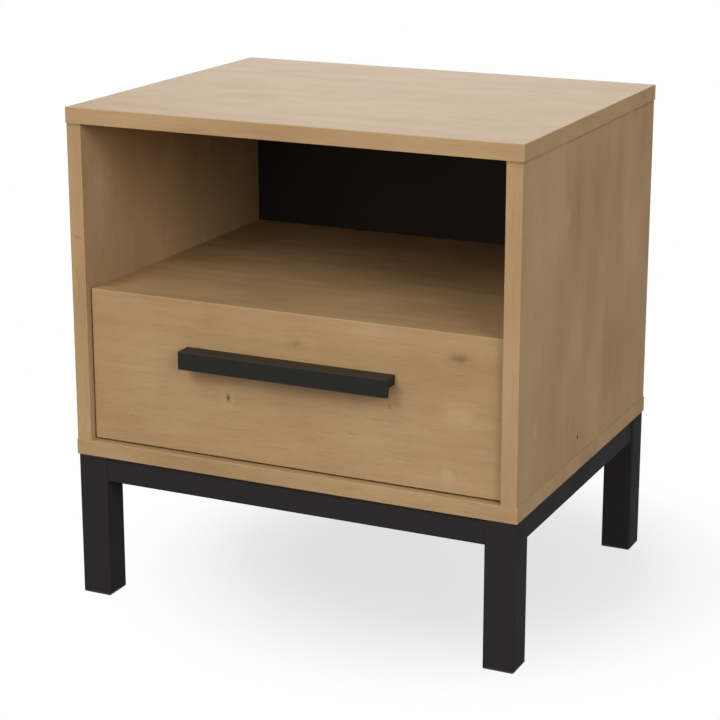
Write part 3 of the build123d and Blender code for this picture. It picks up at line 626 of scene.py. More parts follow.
ROLLED = (900.0, 6.0, 900.0)  # rolling lines run from front to back
RUNNER_PLATE = Plate(ROLLED, (0.28, 0.42))
CAGE_PLATE = Plate(ROLLED, (0.34, 0.48))
BALL_POLISH = Plate((400.0, 400.0, 400.0), (0.1, 0.18))
BOLT_PLATE = Plate((700.0, 700.0, 700.0), (0.26, 0.4))
SCREW_PLATE = Plate((700.0, 700.0, 700.0), (0.22, 0.36))
PLATE_CLOUDS = 35.0  # repeats per metre
PLATE_SHADE = 0.82
PLATE_RELIEF = 0.00002


def plated(name, tone, plate):
    """Plated or polished steel: cloudy tone, with fine lines where the noise is drawn out."""
    finish = Finish(name)
    lines = finish.noise(finish.point, plate.lines, FINE)
    clouds = finish.even_noise(PLATE_CLOUDS, FINE)
    finish.surface(
        base_color=finish.blend(finish.ramp(clouds, *TONE_SPREAD), toned(tone, PLATE_SHADE), tone),
        roughness=finish.ramp(lines, *ROUGH_SPREAD, *plate.roughness),
        metallic=1.0,
    )
    finish.bump(lines, PLATE_RELIEF)
    return finish.material


CAST_SAND = 1500.0  # repeats per metre
CAST_SHADE = 0.75
CAST_ROUGHNESS = (0.42, 0.6)
CAST_RELIEF = 0.00006


def cast_metal(look):
    """Dull die-cast zinc with a sandy skin."""
    finish = Finish("cast_zinc")
    sand = finish.even_noise(CAST_SAND, FINEST)
    finish.surface(
        base_color=finish.blend(sand, toned(look.casting, CAST_SHADE), look.casting),
        roughness=finish.ramp(sand, *ROUGH_SPREAD, *CAST_ROUGHNESS),
        metallic=1.0,
    )
    finish.bump(sand, CAST_RELIEF)
    return finish.material


class Mould(NamedTuple):
    """Skin of a moulded piece: repeats of its texture per metre, mean roughness, depth in metres."""

    texture: float
    roughness: float
    relief: float


BUMPER_MOULD = Mould(1200.0, 0.72, 0.00006)
GLIDE_MOULD = Mould(1600.0, 0.48, 0.00004)
PAD_MOULD = Mould(1500.0, 0.6, 0.00003)
LEVER_MOULD = Mould(1800.0, 0.42, 0.00003)
MOULD_MOTTLE = 45.0  # repeats per metre
MOULD_LIGHTER = 1.6
MOULD_SHEEN = 0.06  # how far the texture changes the roughness


def moulded(name, tone, mould):
    """Moulded plastic or rubber with a fine tool texture and a soft mottle."""
    finish = Finish(name)
    texture = finish.even_noise(mould.texture, FINE)
    mottle = finish.even_noise(MOULD_MOTTLE, SOFT)
    smooth, rough = mould.roughness - MOULD_SHEEN, mould.roughness + MOULD_SHEEN
    finish.surface(
        base_color=finish.blend(finish.ramp(mottle, *STREAK_SPREAD), tone, toned(tone, MOULD_LIGHTER)),
        roughness=finish.ramp(texture, *ROUGH_SPREAD, smooth, rough),
    )
    finish.bump(texture, mould.relief)
    return finish.material


def dress(names, material):
    """Puts a material on every slot of the named nodes."""
    for name in names:
        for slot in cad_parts[name].material_slots:
            slot.material = material


# Surfaces


def add_piece(name, grids, material, body):
    """
    Object made of grids of points, each rows x columns x 3.

    Each cell of a grid becomes a quad. A grid that repeats its first column at its end, or gathers
    a row into one point, is closed there, because points in the same place are merged.
    """
    points = np.concatenate([grid.reshape(-1, 3) for grid in grids])
    cells = []
    first = 0
    for grid in grids:
        rows, columns = grid.shape[:2]
        index = first + np.arange(rows * columns).reshape(rows, columns)
        corners = (index[:-1, :-1], index[:-1, 1:], index[1:, 1:], index[1:, :-1])
        cells.append(np.stack(corners, axis=-1).reshape(-1, 4))
        first += rows * columns
    mesh = bpy.data.meshes.new(name)
    mesh.from_pydata(points.tolist(), [], np.concatenate(cells).tolist())
    shell = bmesh.new()
    shell.from_mesh(mesh)
    bmesh.ops.remove_doubles(shell, verts=shell.verts, dist=MERGE_DISTANCE)
    bmesh.ops.dissolve_degenerate(shell, edges=shell.edges, dist=MERGE_DISTANCE)
    bmesh.ops.recalc_face_normals(shell, faces=shell.faces)
    shell.to_mesh(mesh)
    shell.free()
    mesh.shade_smooth()
    mesh.set_sharp_from_angle(angle=SHARP_ANGLE)
    mesh.materials.append(material)
    piece = bpy.data.objects.new(name, mesh)
    bpy.context.scene.collection.objects.link(piece)
    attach(piece, body)
    return piece


def stand_in(piece, node):
    """The piece takes a node's place; both have to fill the same box."""
    low, high = faces(node)
    corners = np.array([corner[:] for corner in piece.bound_box])
    misfit = max(np.abs(corners.min(0) - low).max(), np.abs(corners.max(0) - high).max())
    if misfit > STAND_IN_MISFIT:
        raise ValueError(f"{piece.name} is {misfit / MM:.2f} mm away from {node}")
    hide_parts(node)


def around(origin, direction, radius, theta, height):
    """Points at a radius, an angle and a height about an axis direction through an origin."""
    side = X_AXIS if direction[2] else Z_AXIS
    other = np.cross(direction, side)
    ring = np.cos(theta)[..., None] * side + np.sin(theta)[..., None] * other
    return np.asarray(origin) + radius[..., None] * ring + height[..., None] * direction


class Screw(NamedTuple):
    """Sizes of a cross-recessed screw in millimetres; a sunk head is a cone below its top."""

    diameter: float
    length: float
    head: float
    head_height: float
    sunk: bool
    pitch: float


CONFIRMAT = Screw(7.0, 45.0, 10.0, 4.0, True, 2.6)
BACK_SCREW = Screw(3.5, 35.0, 7.0, 2.0, True, 1.5)
RUNNER_SCREW = Screw(3.5, 10.0, 6.5, 1.5, True, 1.3)
BASE_SCREW = Screw(5.0, 14.0, 10.0, 3.2, False, 1.8)
HANDLE_SCREW = Screw(4.0, 22.0, 8.0, 2.6, False, 0.9)

QUADRANTS = 4
QUADRANT_COLUMNS = 8
ARM_COLUMNS = 3  # columns of a quadrant on the floor of a recess arm
ARM_HALF_WIDTH = 0.075  # of the head's diameter
ARM_REACH = 0.31  # of the head's diameter
ARM_DEPTH = 0.62  # of the head's height
ARM_WALL = math.radians(1.0)  # turn from the foot of an arm's side wall to its upper edge
ARM_END_WALL = 1.06  # radius of the upper edge of an arm's end wall, over that of its foot
CROSSING_WALL = 1.03  # the same where two arms meet
ARM_ROWS = 4  # rows of the head that lie on the floor of an arm
CROSSING_ROWS = 2  # rows of the head inside the square where the arms cross
TIP_LENGTH = 3.0  # of a screw with a sunk head, in millimetres
THREAD_DEPTH = 0.26  # of the screw's radius
ROWS_PER_TURN = 8


def recess_columns(radius, half_width):
    """
    Angles of the columns on a screw's head, one row for each radius.

    In each quadrant three columns lie on the floor of a recess arm, with the outer two along its
    walls, which keep a fixed distance from the arm's middle line: their angle is the arc sine of
    half width over radius. The other columns share the land between two arms.
    """
    ratio = half_width / np.maximum(radius, half_width)
    foot = np.minimum(np.arcsin(ratio), math.pi / 4)[:, None]
    edge = foot + np.minimum(ARM_WALL, math.pi / 4 - foot)
    floor = foot * np.linspace(-1.0, 1.0, ARM_COLUMNS)
    land = edge + (math.pi / 2 - 2 * edge) * np.linspace(0.0, 1.0, QUADRANT_COLUMNS - ARM_COLUMNS)
    quadrant = np.concatenate([floor, land], axis=1)
    return np.concatenate([quadrant + turn * math.pi / 2 for turn in range(QUADRANTS)], axis=1)


def head_rows(screw):
    """
    Radius, angle and height on a screw's head, in rows from its middle to the rim of its flat.

    The recess lowers the arm columns, and inside the square where the arms cross, all columns.
    """
    half_width = ARM_HALF_WIDTH * screw.head
    crossing = half_width * math.sqrt(2.0)
    reach = ARM_REACH * screw.head
    top = 0.0 if screw.sunk else -screw.head_height
    flat = screw.head / 2 if screw.sunk else (screw.head - screw.head_height) / 2
    radius = np.array([0.0, crossing, crossing * CROSSING_WALL, reach, reach * ARM_END_WALL, flat])
    theta = recess_columns(radius, half_width)
    on_floor = np.arange(theta.shape[1]) % QUADRANT_COLUMNS < ARM_COLUMNS
    lowered = np.arange(len(radius))[:, None] < np.where(on_floor, ARM_ROWS, CROSSING_ROWS)
    height = top + ARM_DEPTH * screw.head_height * lowered
    return np.broadcast_to(radius[:, None], theta.shape), theta, height


def shank_rows(screw, start, theta):
    """
    Radius and height on a screw's shank, in rows from its start to its end.

    The radius is the crest's less a share that follows a triangle wave of height / pitch
    - angle / 360 degrees. The thread fades in over one pitch, and a sunk screw ends in a point.
    """
    turns = (screw.length - start) / screw.pitch
    height = np.linspace(start, screw.length, int(turns * ROWS_PER_TURN))[:, None]
    narrowing = np.clip((screw.length - height) / TIP_LENGTH, 0.0, 1.0) if screw.sunk else 1.0
    wave = height / screw.pitch - theta / (2 * math.pi)
    valley = np.abs(2 * (wave % 1.0) - 1.0)
    fade = np.clip((height - start) / screw.pitch, 0.0, 1.0)
    radius = screw.diameter / 2 * narrowing * (1.0 - THREAD_DEPTH * valley * fade)
    return radius, np.broadcast_to(height, radius.shape)


def screw_grid(origin, direction, screw):
    """
    Surface of a screw: a turned outline with a cross recess in its head and a thread on its shank.

    Rows go from the middle of the head over its underside and along the shank to the end's middle.
    """
    rim, core = screw.head / 2, screw.diameter / 2
    if screw.sunk:
        neck = np.array([(core, screw.head_height)])
    else:
        neck = np.array([(rim, -screw.head_height / 2), (rim, 0.0), (core, 0.0)])
    head_radius, head_theta, head_height = head_rows(screw)
    columns = head_theta.shape[1]
    even = (np.arange(columns) - 1) * 2 * math.pi / columns
    shank_radius, shank_height = shank_rows(screw, neck[-1, 1], even)
    neck_radius, neck_height = np.repeat(neck.T[..., None], columns, axis=2)
    middle = np.zeros((1, columns))
    radius = np.concatenate([head_radius, neck_radius, shank_radius, middle])
    height = np.concatenate([head_height, neck_height, shank_height, middle + screw.length])
    theta = np.concatenate([head_theta, np.tile(even, (len(radius) - len(head_theta), 1))])
    closed = [np.concatenate([grid, grid[:, :1]], axis=1) for grid in (radius, theta, height)]
    radius, theta, height = closed
    return around(origin, direction, radius * MM, theta, height * MM)


class Dowel(NamedTuple):
    """Sizes of a dowel in millimetres: diameter, and depth in a board's face and in an edge."""

    diameter: float
    in_face: float
    in_edge: float


BOARD_DOWEL = Dowel(8.0, 10.0, 20.0)
DRAWER_DOWEL = Dowel(6.0, 10.0, 15.0)
FLUTES = 12
FLUTE_COLUMNS = 4
FLUTE_DEPTH = 0.06  # of the dowel's radius
DOWEL_CHAMFER = 0.8


def dowel_grid(origin, direction, dowel):
    """
    Surface of a fluted dowel: its radius dips by the square of half of 1 - cos(flutes x angle).

    Rows follow the outline from one end's middle over its chamfer to the other end's middle.
    """
    radius = dowel.diameter / 2
    inner = radius - DOWEL_CHAMFER
    start, end = -dowel.in_face, dowel.in_edge
    outline = np.array([
        (0.0, start), (inner, start), (radius, start + DOWEL_CHAMFER),
        (radius, end - DOWEL_CHAMFER), (inner, end), (0.0, end),
    ])
    theta = np.linspace(0.0, 2 * math.pi, FLUTES * FLUTE_COLUMNS + 1)
    dip = FLUTE_DEPTH * ((1.0 - np.cos(FLUTES * theta)) / 2) ** 2
    radii = outline[:, :1] * (1.0 - dip)
    heights = np.broadcast_to(outline[:, 1:], radii.shape)
    return around(origin, direction, radii * MM, np.broadcast_to(theta, radii.shape), heights * MM)


def blunt_ends(along, exponent):
    """Size of a blunt superellipse along its length: root of 1 - |2 x share - 1| ^ exponent."""
    return np.sqrt(1.0 - np.abs(2 * along - 1.0) ** exponent)


BEAD_COLUMNS = 14
BEAD_ROWS_PER_RIPPLE = 6
BEAD_RIPPLE_DEPTH = 0.22  # of the bead's radius
BEAD_LAG = 0.7  # how far a ripple's flanks trail behind its middle, in bead radii
BEAD_END = 10  # exponent that sets how bluntly a bead ends


def weld_grid(start, end, outward, radius, pitch):
    """
    Surface of a weld bead: a round rod along a seam, half sunk in the two tubes that it joins.

    Its radius swells by the absolute sine of distance / pitch, where the distance lags towards the
    flanks, which makes crescents, and it closes at both ends like a blunt superellipse.
    """
    run = np.linalg.norm(end - start)
    direction = (end - start) / run
    outward = outward / np.linalg.norm(outward)
    across = np.cross(direction, outward)
    along = np.linspace(0.0, 1.0, int(run / pitch * BEAD_ROWS_PER_RIPPLE))[:, None]
    theta = np.linspace(0.0, 2 * math.pi, BEAD_COLUMNS + 1)
    lag = BEAD_LAG * radius * np.cos(theta)
    ripple = np.abs(np.sin(math.pi * (along * run + lag) / pitch))
    swell = 1.0 - BEAD_RIPPLE_DEPTH + BEAD_RIPPLE_DEPTH * ripple
    reach = radius * blunt_ends(along, BEAD_END) * swell
    ring = np.cos(theta)[:, None] * outward + np.sin(theta)[:, None] * across
    return start + (along * run)[..., None] * direction + reach[..., None] * ring


STITCH = 0.018  # run of the short welds along a corner plate
STITCH_INSET = 0.016  # first stitch from the leg
SEAM_MARGIN = 0.0025  # tube corner that a weld leaves free


def seam(middle, axis, run, bead, outward):
    """Start, end and outward direction of a weld seam along an axis, about its middle."""
    half = axis * (run / 2 - bead)
    return (middle - half, middle + half, outward)


def corner_seams(side_name, end_name, bead):
    """
    Weld seams in one corner of the base, from the boxes of its leg, rails and plate.

    Each rail has a seam under it and one up its inner face, where it meets the leg, and the plate
    has a stitch along each rail.
    """
    side, end = SIDES[side_name], ENDS[end_name]
    x_in, y_in = -side * X_AXIS, -end * Y_AXIS
    leg = faces(f"{end_name}_{side_name}_leg")
    side_rail, end_rail = faces(f"{side_name}_rail"), faces(f"{end_name}_rail")
    inner_x, inner_y = int(side < 0), int(end < 0)  # rows of the boxes that face inwards
    leg_x, leg_y = leg[inner_x, 0], leg[inner_y, 1]
    rail_x, rail_y = side_rail[inner_x, 0], end_rail[inner_y, 1]
    middle_x, middle_y = side_rail[:, 0].mean(), end_rail[:, 1].mean()
    under, over = end_rail[:, 2]
    plate_under = faces(f"{end_name}_{side_name}_corner_plate")[0, 2]
    across = over - under - 2 * SEAM_MARGIN
    upright = plate_under - under - 2 * SEAM_MARGIN
    upright_z = under + SEAM_MARGIN + upright / 2
    stitch_x = leg_x - side * (STITCH_INSET + STITCH / 2)
    stitch_y = leg_y - end * (STITCH_INSET + STITCH / 2)
    return [
        seam(np.array((leg_x, middle_y, under)), Y_AXIS, across, bead, x_in - Z_AXIS),
        seam(np.array((middle_x, leg_y, under)), X_AXIS, across, bead, y_in - Z_AXIS),
        seam(np.array((leg_x, rail_y, upright_z)), Z_AXIS, upright, bead, x_in + y_in),
        seam(np.array((rail_x, leg_y, upright_z)), Z_AXIS, upright, bead, x_in + y_in),
        seam(np.array((stitch_x, rail_y, plate_under)), X_AXIS, STITCH, bead, y_in - Z_AXIS),
        seam(np.array((rail_x, stitch_y, plate_under)), Y_AXIS, STITCH, bead, x_in - Z_AXIS),
    ]


PAD_RADIUS = 4.5 * MM
PAD_HEIGHT = 1.8 * MM
PAD_DOME = 4  # exponent that sets how flat the top of a pad is
PAD_ROWS = 10
PAD_COLUMNS = 32
PAD_X = 150.0 * MM  # pads from the middle of the drawer
PAD_DROP = 8.0 * MM  # shelf's top to the pads


def pad_grid(origin, direction):
    """Stop pad: height is its full height times (1 - (r / R) ^ 4), with a flat underside."""
    outwards = np.append(np.linspace(0.0, 1.0, PAD_ROWS), 0.0)[:, None]
    theta = np.linspace(0.0, 2 * math.pi, PAD_COLUMNS + 1)
    shape = (len(outwards), len(theta))
    height = PAD_HEIGHT * (1.0 - outwards ** PAD_DOME)
    height[-1] = 0.0
    radius = np.broadcast_to(PAD_RADIUS * outwards, shape)
    return around(origin, direction, radius, np.broadcast_to(theta, shape), np.broadcast_to(height, shape))


LEVER_START = 100.0 * MM  # front end of the runner's drawer member to the lever
LEVER_LENGTH = 40.0 * MM
LEVER_HALF_HEIGHT = 2.6 * MM
LEVER_PADDLE = 2.8 * MM  # added half height at the paddle
LEVER_PADDLE_REACH = (0.45, 0.85)  # shares of the length between which the paddle widens
LEVER_THICKNESS = 2.2 * MM
LEVER_BEND = 3.0 * MM  # rise of the paddle above the pivot
LEVER_ROWS = 48
LEVER_COLUMNS = 28
LEVER_CORNER = 0.4  # exponent of the section's superellipse
LEVER_END = 6  # exponent that sets how bluntly a lever ends


def eased(values, low, high):
    """Smooth step from 0 at low to 1 at high."""
    t = np.clip((values - low) / (high - low), 0.0, 1.0)
    return t * t * (3.0 - 2.0 * t)


def squared_off(wave):
    """Sine or cosine with its size raised to a power, which squares off an ellipse."""
    return np.sign(wave) * np.abs(wave) ** LEVER_CORNER


def lever_grid(origin, outward, upward):
    """
    Release lever: a superellipse section carried back along the runner.

    Its half height grows by a smooth step into a paddle, its middle line rises by the same step,
    and both sizes close towards the ends like a blunt superellipse.
    """
    along = np.linspace(0.0, 1.0, LEVER_ROWS)[:, None]
    theta = np.linspace(0.0, 2 * math.pi, LEVER_COLUMNS + 1)[None, :]
    step = eased(along, *LEVER_PADDLE_REACH)
    closing = blunt_ends(along, LEVER_END)
    half_height = (LEVER_HALF_HEIGHT + LEVER_PADDLE * step) * closing
    half_thickness = LEVER_THICKNESS / 2 * closing
    rise = half_height * squared_off(np.sin(theta)) + upward * LEVER_BEND * step
    depth = half_thickness * squared_off(np.cos(theta)) + LEVER_THICKNESS / 2
    line = np.asarray(origin) + (LEVER_LENGTH * along)[..., None] * Y_AXIS
    return line + rise[..., None] * Z_AXIS + depth[..., None] * outward


# Seats of the fasteners: an origin on the face that each goes into, and its direction


DOWEL_MARGIN = 45.0 * MM
TOP_DOWELS_PER_SIDE = 3
BOTTOM_DOWELS_PER_SIDE = 2
CONFIRMAT_MARGIN = 77.0 * MM
CONFIRMATS_PER_SIDE = 2
DRAWER_DOWEL_HEIGHTS = (25.0 * MM, 60.0 * MM)
BACK_SCREW_INSET = 25.0 * MM
PLATE_HOLE_INSET = 18.0 * MM
HANDLE_FLANGE = 9.0 * MM
HANDLE_HOLE_SPACING = 160.0 * MM
RUNNER_WALL = 1.5 * MM
RUNNER_SCREWS = 3
RUNNER_SCREW_MARGIN = 37.0 * MM


def inner_face(side_name):
    """Place of a side board's inner face, left to right."""
    low, high = faces(f"{side_name}_side_panel")
    return low[0] if SIDES[side_name] > 0 else high[0]


def outer_face(node, side):
    """Outermost place of a node on one side, left to right."""
    low, high = faces(node)
    return high[0] if side > 0 else low[0]


def side_board_seats(margin, count, z, direction):
    """Seats in a row along the edges of both side boards, a margin away from their ends."""
    seats = []
    for side_name in SIDES:
        low, high = faces(f"{side_name}_side_panel")
        x = (low[0] + high[0]) / 2
        row = np.linspace(low[1] + margin, high[1] - margin, count)
        seats += [((x, y, z), direction) for y in row]
    return seats


def top_dowel_seats():
    """Dowels that go down from the top board into the side boards."""
    over = faces("left_side_panel")[1, 2]
    return side_board_seats(DOWEL_MARGIN, TOP_DOWELS_PER_SIDE, over, -Z_AXIS)


def bottom_dowel_seats():
    """Dowels that go up from the bottom board into the side boards."""
    under = faces("left_side_panel")[0, 2]
    return side_board_seats(DOWEL_MARGIN, BOTTOM_DOWELS_PER_SIDE, under, Z_AXIS)


def confirmat_seats():
    """Confirmat screws that go up through the bottom board into the side boards."""
    under = faces("bottom_panel")[0, 2]
    return side_board_seats(CONFIRMAT_MARGIN, CONFIRMATS_PER_SIDE, under, Z_AXIS)


def shelf_dowel_seats():
    """Dowels that go from the side boards into the shelf's ends."""
    y, z = faces("shelf_panel").mean(0)[1:]
    return [((inner_face(name), y, z), -side * X_AXIS) for name, side in SIDES.items()]


def drawer_dowel_seats():
    """Dowels that go back from the drawer front into the drawer's sides."""
    front = faces("drawer_front")[1, 1]
    seats = []
    for side_name in SIDES:
        low, high = faces(f"drawer_{side_name}_side")
        x = (low[0] + high[0]) / 2
        seats += [((x, front, low[2] + rise), Y_AXIS) for rise in DRAWER_DOWEL_HEIGHTS]
    return seats


def back_screw_seats():
    """Screws that go through the drawer's sides into its back."""
    low, high = faces("drawer_back")
    y = (low[1] + high[1]) / 2
    heights = (low[2] + BACK_SCREW_INSET, high[2] - BACK_SCREW_INSET)
    seats = []
    for side_name, side in SIDES.items():
        x = outer_face(f"drawer_{side_name}_side", side)
        seats += [((x, y, z), -side * X_AXIS) for z in heights]
    return seats


def runner_height():
    """Height of the runners' middle line."""
    return faces("left_runner_drawer_member")[:, 2].mean()


def drawer_web(side_name):
    """Outer face of the web of a runner's drawer member, left to right."""
    side = SIDES[side_name]
    return outer_face(f"drawer_{side_name}_side", side) + side * RUNNER_WALL


def cabinet_web(side_name):
    """Inner face of the web of a runner's cabinet member, left to right."""
    return inner_face(side_name) - SIDES[side_name] * RUNNER_WALL


def runner_screw_seats(web, outward):
    """Screws through both webs of a kind, outwards into the cabinet or inwards into the drawer."""
    low, high = faces("left_runner_drawer_member")
    row = np.linspace(low[1] + RUNNER_SCREW_MARGIN, high[1] - RUNNER_SCREW_MARGIN, RUNNER_SCREWS)
    z = runner_height()
    seats = []
    for side_name, side in SIDES.items():
        seats += [((web(side_name), y, z), outward * side * X_AXIS) for y in row]
    return seats


def handle_screw_seats():
    """Screws that go forward through the drawer front into the handle's flange."""
    y = faces("drawer_front")[1, 1]
    z = faces("handle")[1, 2] - HANDLE_FLANGE / 2
    return [((side * HANDLE_HOLE_SPACING / 2, y, z), -Y_AXIS) for side in SIDES.values()]


def base_screw_seats():
    """Screws that go up through the corner plates into the bottom board."""
    seats = []
    for side_name, side in SIDES.items():
        for end_name, end in ENDS.items():
            plate = faces(f"{end_name}_{side_name}_corner_plate")
            x = plate[int(side > 0), 0] - side * PLATE_HOLE_INSET
            y = plate[int(end > 0), 1] - end * PLATE_HOLE_INSET
            seats.append(((x, y, plate[0, 2]), Z_AXIS))
    return seats


# Operators


RUNNER_MEMBERS = ("runner_cabinet_member", "runner_middle_member", "runner_drawer_member")
BALL_CAGES = ("outer_ball_cage", "inner_ball_cage")
BALL_SETS = ("outer_balls", "inner_balls")
CAM_BOLTS = ("shelf_cam_bolts", "drawer_cam_bolts")
CAM_DISCS = ("shelf_cam_discs", "drawer_cam_discs")
FOIL_BOARDS = {"drawer_left_side": 1, "drawer_right_side": 1, "drawer_back": 0}  # axis of their length


class NIGHTSTAND_OT_oak_boards(bpy.types.Operator):
    """Gives the oak boards their grain, knots and soft edges, and paints light and shade on some of them
    """

    bl_idname = "nightstand.oak_boards"
    bl_label = "Oak Boards"

    def execute(self, context):
        for node in OAK_BOARDS:
            dress([node], oak(node, context.scene.nightstand_oak))
        return {"FINISHED"}


class NIGHTSTAND_OT_black_coats(bpy.types.Operator):
    """Coats the base, the handle and the back panel"""

    bl_idname = "nightstand.black_coats"
    bl_label = "Black Coats"

    def execute(self, context):
        look = context.scene.nightstand_coat
        rails = [f"{name}_rail" for name in (*SIDES, *ENDS)]
        for node in (*rails, *at_all_corners("leg"), *at_all_corners("corner_plate")):
            dress([node], coated(f"powder_{node}", look.steel, look, node, STEEL_COAT))
        dress(["handle"], coated("handle_coat", look.handle, look, "handle", HANDLE_COAT))
        dress(["back_panel"], coated("panel_paint", look.panel, look, "back_panel", PANEL_COAT))
        return {"FINISHED"}


class NIGHTSTAND_OT_drawer_boards(bpy.types.Operator):
    """Gives the drawer box its foil and its hardboard"""

    bl_idname = "nightstand.drawer_boards"
    bl_label = "Drawer Boards"

    def execute(self, context):
        look = context.scene.nightstand_drawer
        for node, lengthways in FOIL_BOARDS.items():
            dress([node], wood_foil(look, node, lengthways))
        dress(["drawer_bottom"], pressed_board(look))
        return {"FINISHED"}


class NIGHTSTAND_OT_hardware(bpy.types.Operator):
    """Plates the runners and cams, and finishes bumpers and glides"""

    bl_idname = "nightstand.hardware"
    bl_label = "Hardware"

    def execute(self, context):
        look = context.scene.nightstand_hardware
        dress(on_both_sides(RUNNER_MEMBERS), plated("runner_zinc", look.zinc, RUNNER_PLATE))
        dress(on_both_sides(BALL_CAGES), plated("cage_zinc", look.zinc, CAGE_PLATE))
        dress(on_both_sides(BALL_SETS), plated("bearing_steel", look.bearing, BALL_POLISH))
        dress(CAM_BOLTS, plated("bolt_zinc", look.screw, BOLT_PLATE))
        dress(CAM_DISCS, cast_metal(look))
        dress(on_both_sides(["runner_bumper"]), moulded("bumper_rubber", look.rubber, BUMPER_MOULD))
        dress(at_all_corners("glide"), moulded("glide_plastic", look.plastic, GLIDE_MOULD))
        return {"FINISHED"}


class NIGHTSTAND_OT_weld_beads(bpy.types.Operator):
    """Adds the weld beads that join legs, rails and corner plates"""

    bl_idname = "nightstand.weld_beads"
    bl_label = "Weld Beads"

    def execute(self, context):
        look = context.scene.nightstand_hardware
        for end in ENDS:
            for side in SIDES:
                seams = corner_seams(side, end, look.bead)
                grids = [weld_grid(*item, look.bead, look.ripple) for item in seams]
                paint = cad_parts[f"{end}_{side}_leg"].material_slots[0].material
                add_piece(f"{end}_{side}_weld_beads", grids, paint, CABINET)
        return {"FINISHED"}


class NIGHTSTAND_OT_screws(bpy.types.Operator):
    """Puts threaded, cross-recessed screws in the places of the plain ones"""

    bl_idname = "nightstand.screws"
    bl_label = "Screws"

    def execute(self, context):
        steel = plated("screw_zinc", context.scene.nightstand_hardware.screw, SCREW_PLATE)
        sets = (
            ("bottom_confirmat_screws", CONFIRMAT, confirmat_seats(), CABINET),
            ("base_screws", BASE_SCREW, base_screw_seats(), CABINET),
            ("cabinet_runner_screws", RUNNER_SCREW, runner_screw_seats(cabinet_web, 1), CABINET),
            ("drawer_runner_screws", RUNNER_SCREW, runner_screw_seats(drawer_web, -1), DRAWER),
            ("drawer_back_screws", BACK_SCREW, back_screw_seats(), DRAWER),
            ("handle_screws", HANDLE_SCREW, handle_screw_seats(), DRAWER),
        )
        for node, screw, seats, body in sets:
            grids = [screw_grid(*seat, screw) for seat in seats]
            piece = add_piece(f"threaded_{node}", grids, steel, body)
            stand_in(piece, node)
        return {"FINISHED"}


class NIGHTSTAND_OT_dowels(bpy.types.Operator):
    """Puts fluted dowels in the places of the plain ones"""

    bl_idname = "nightstand.dowels"
    bl_label = "Dowels"

    def execute(self, context):
        wood = beech(context.scene.nightstand_drawer)
        sets = (
            ("top_dowels", BOARD_DOWEL, top_dowel_seats(), CABINET),
            ("bottom_dowels", BOARD_DOWEL, bottom_dowel_seats(), CABINET),
            ("shelf_dowels", BOARD_DOWEL, shelf_dowel_seats(), CABINET),
            ("drawer_dowels", DRAWER_DOWEL, drawer_dowel_seats(), DRAWER),
        )
        for node, dowel, seats, body in sets:
            grids = [dowel_grid(*seat, dowel) for seat in seats]
            piece = add_piece(f"fluted_{node}", grids, wood, body)
            stand_in(piece, node)
        return {"FINISHED"}


class NIGHTSTAND_OT_stop_pads(bpy.types.Operator):
    """Adds the soft pads that the drawer front closes against"""

    bl_idname = "nightstand.stop_pads"
    bl_label = "Stop Pads"

    def execute(self, context):
        rubber = moulded("pad_rubber", context.scene.nightstand_hardware.rubber, PAD_MOULD)
        y = faces("drawer_front")[1, 1]
        z = faces("shelf_panel")[1, 2] - PAD_DROP
        grids = [pad_grid((side * PAD_X, y, z), Y_AXIS) for side in SIDES.values()]
        add_piece("drawer_stop_pads", grids, rubber, DRAWER)
        return {"FINISHED"}


class NIGHTSTAND_OT_release_levers(bpy.types.Operator):
    """Adds the levers that unlatch the drawer from its runners"""

    bl_idname = "nightstand.release_levers"
    bl_label = "Release Levers"

    def execute(self, context):
        plastic = moulded("lever_plastic", context.scene.nightstand_hardware.plastic, LEVER_MOULD)
        for name, side in SIDES.items():
            y = faces(f"{name}_runner_drawer_member")[0, 1] + LEVER_START
            grid = lever_grid((drawer_web(name), y, runner_height()), side * X_AXIS, -side)
            add_piece(f"{name}_release_lever", [grid], plastic, DRAWER)
        return {"FINISHED"}


WHITE = (1.0, 1.0, 1.0, 1.0)
TARGET = Vector((0.0, 0.0, 0.24))  # middle of the part, which the lamps face
LAMPS = {  # place and width of each square lamp
    "key": ((-0.7, -2.2, 2.42), 1.6),
    "fill": ((2.45, -1.85, 1.6), 1.8),
    "low": ((-0.45, -2.85, 1.1), 1.8),
    "back": ((-1.1, 2.7, 1.25), 1.8),
}
FLOOR_HALF = 8.0
FLOOR_DROP = 0.0004  # floor below the glides
FLOOR_ROUGHNESS = 0.9


def seen_directly(tree):
    """1 for rays from the camera, a mirror or glass, 0 for the light that falls on the part."""
    path = tree.nodes.new("ShaderNodeLightPath")
    total = path.outputs["Is Camera Ray"]
    for name in ("Is Glossy Ray", "Is Transmission Ray"):
        either = tree.nodes.new("ShaderNodeMath")
        either.operation = "MAXIMUM"
        tree.links.new(total, either.inputs[0])
        tree.links.new(path.outputs[name], either.inputs[1])
        total = either.outputs[0]
    return total


def light_world(scene, look):
    """White surroundings to look at, and a plain level of light from all round."""
    scene.world = bpy.data.worlds.new("studio")
    scene.world.use_nodes = True
    tree = scene.world.node_tree
    tree.nodes.clear()
    output = tree.nodes.new("ShaderNodeOutputWorld")
    mix = tree.nodes.new("ShaderNodeMixShader")
    tree.links.new(seen_directly(tree), mix.inputs["Fac"])
    for place_in_mix, strength in ((1, look.ambient), (2, 1.0)):
        light = tree.nodes.new("ShaderNodeBackground")
        light.inputs["Color"].default_value = WHITE
        light.inputs["Strength"].default_value = strength
        tree.links.new(light.outputs[0], mix.inputs[place_in_mix])
    tree.links.new(mix.outputs[0], output.inputs["Surface"])


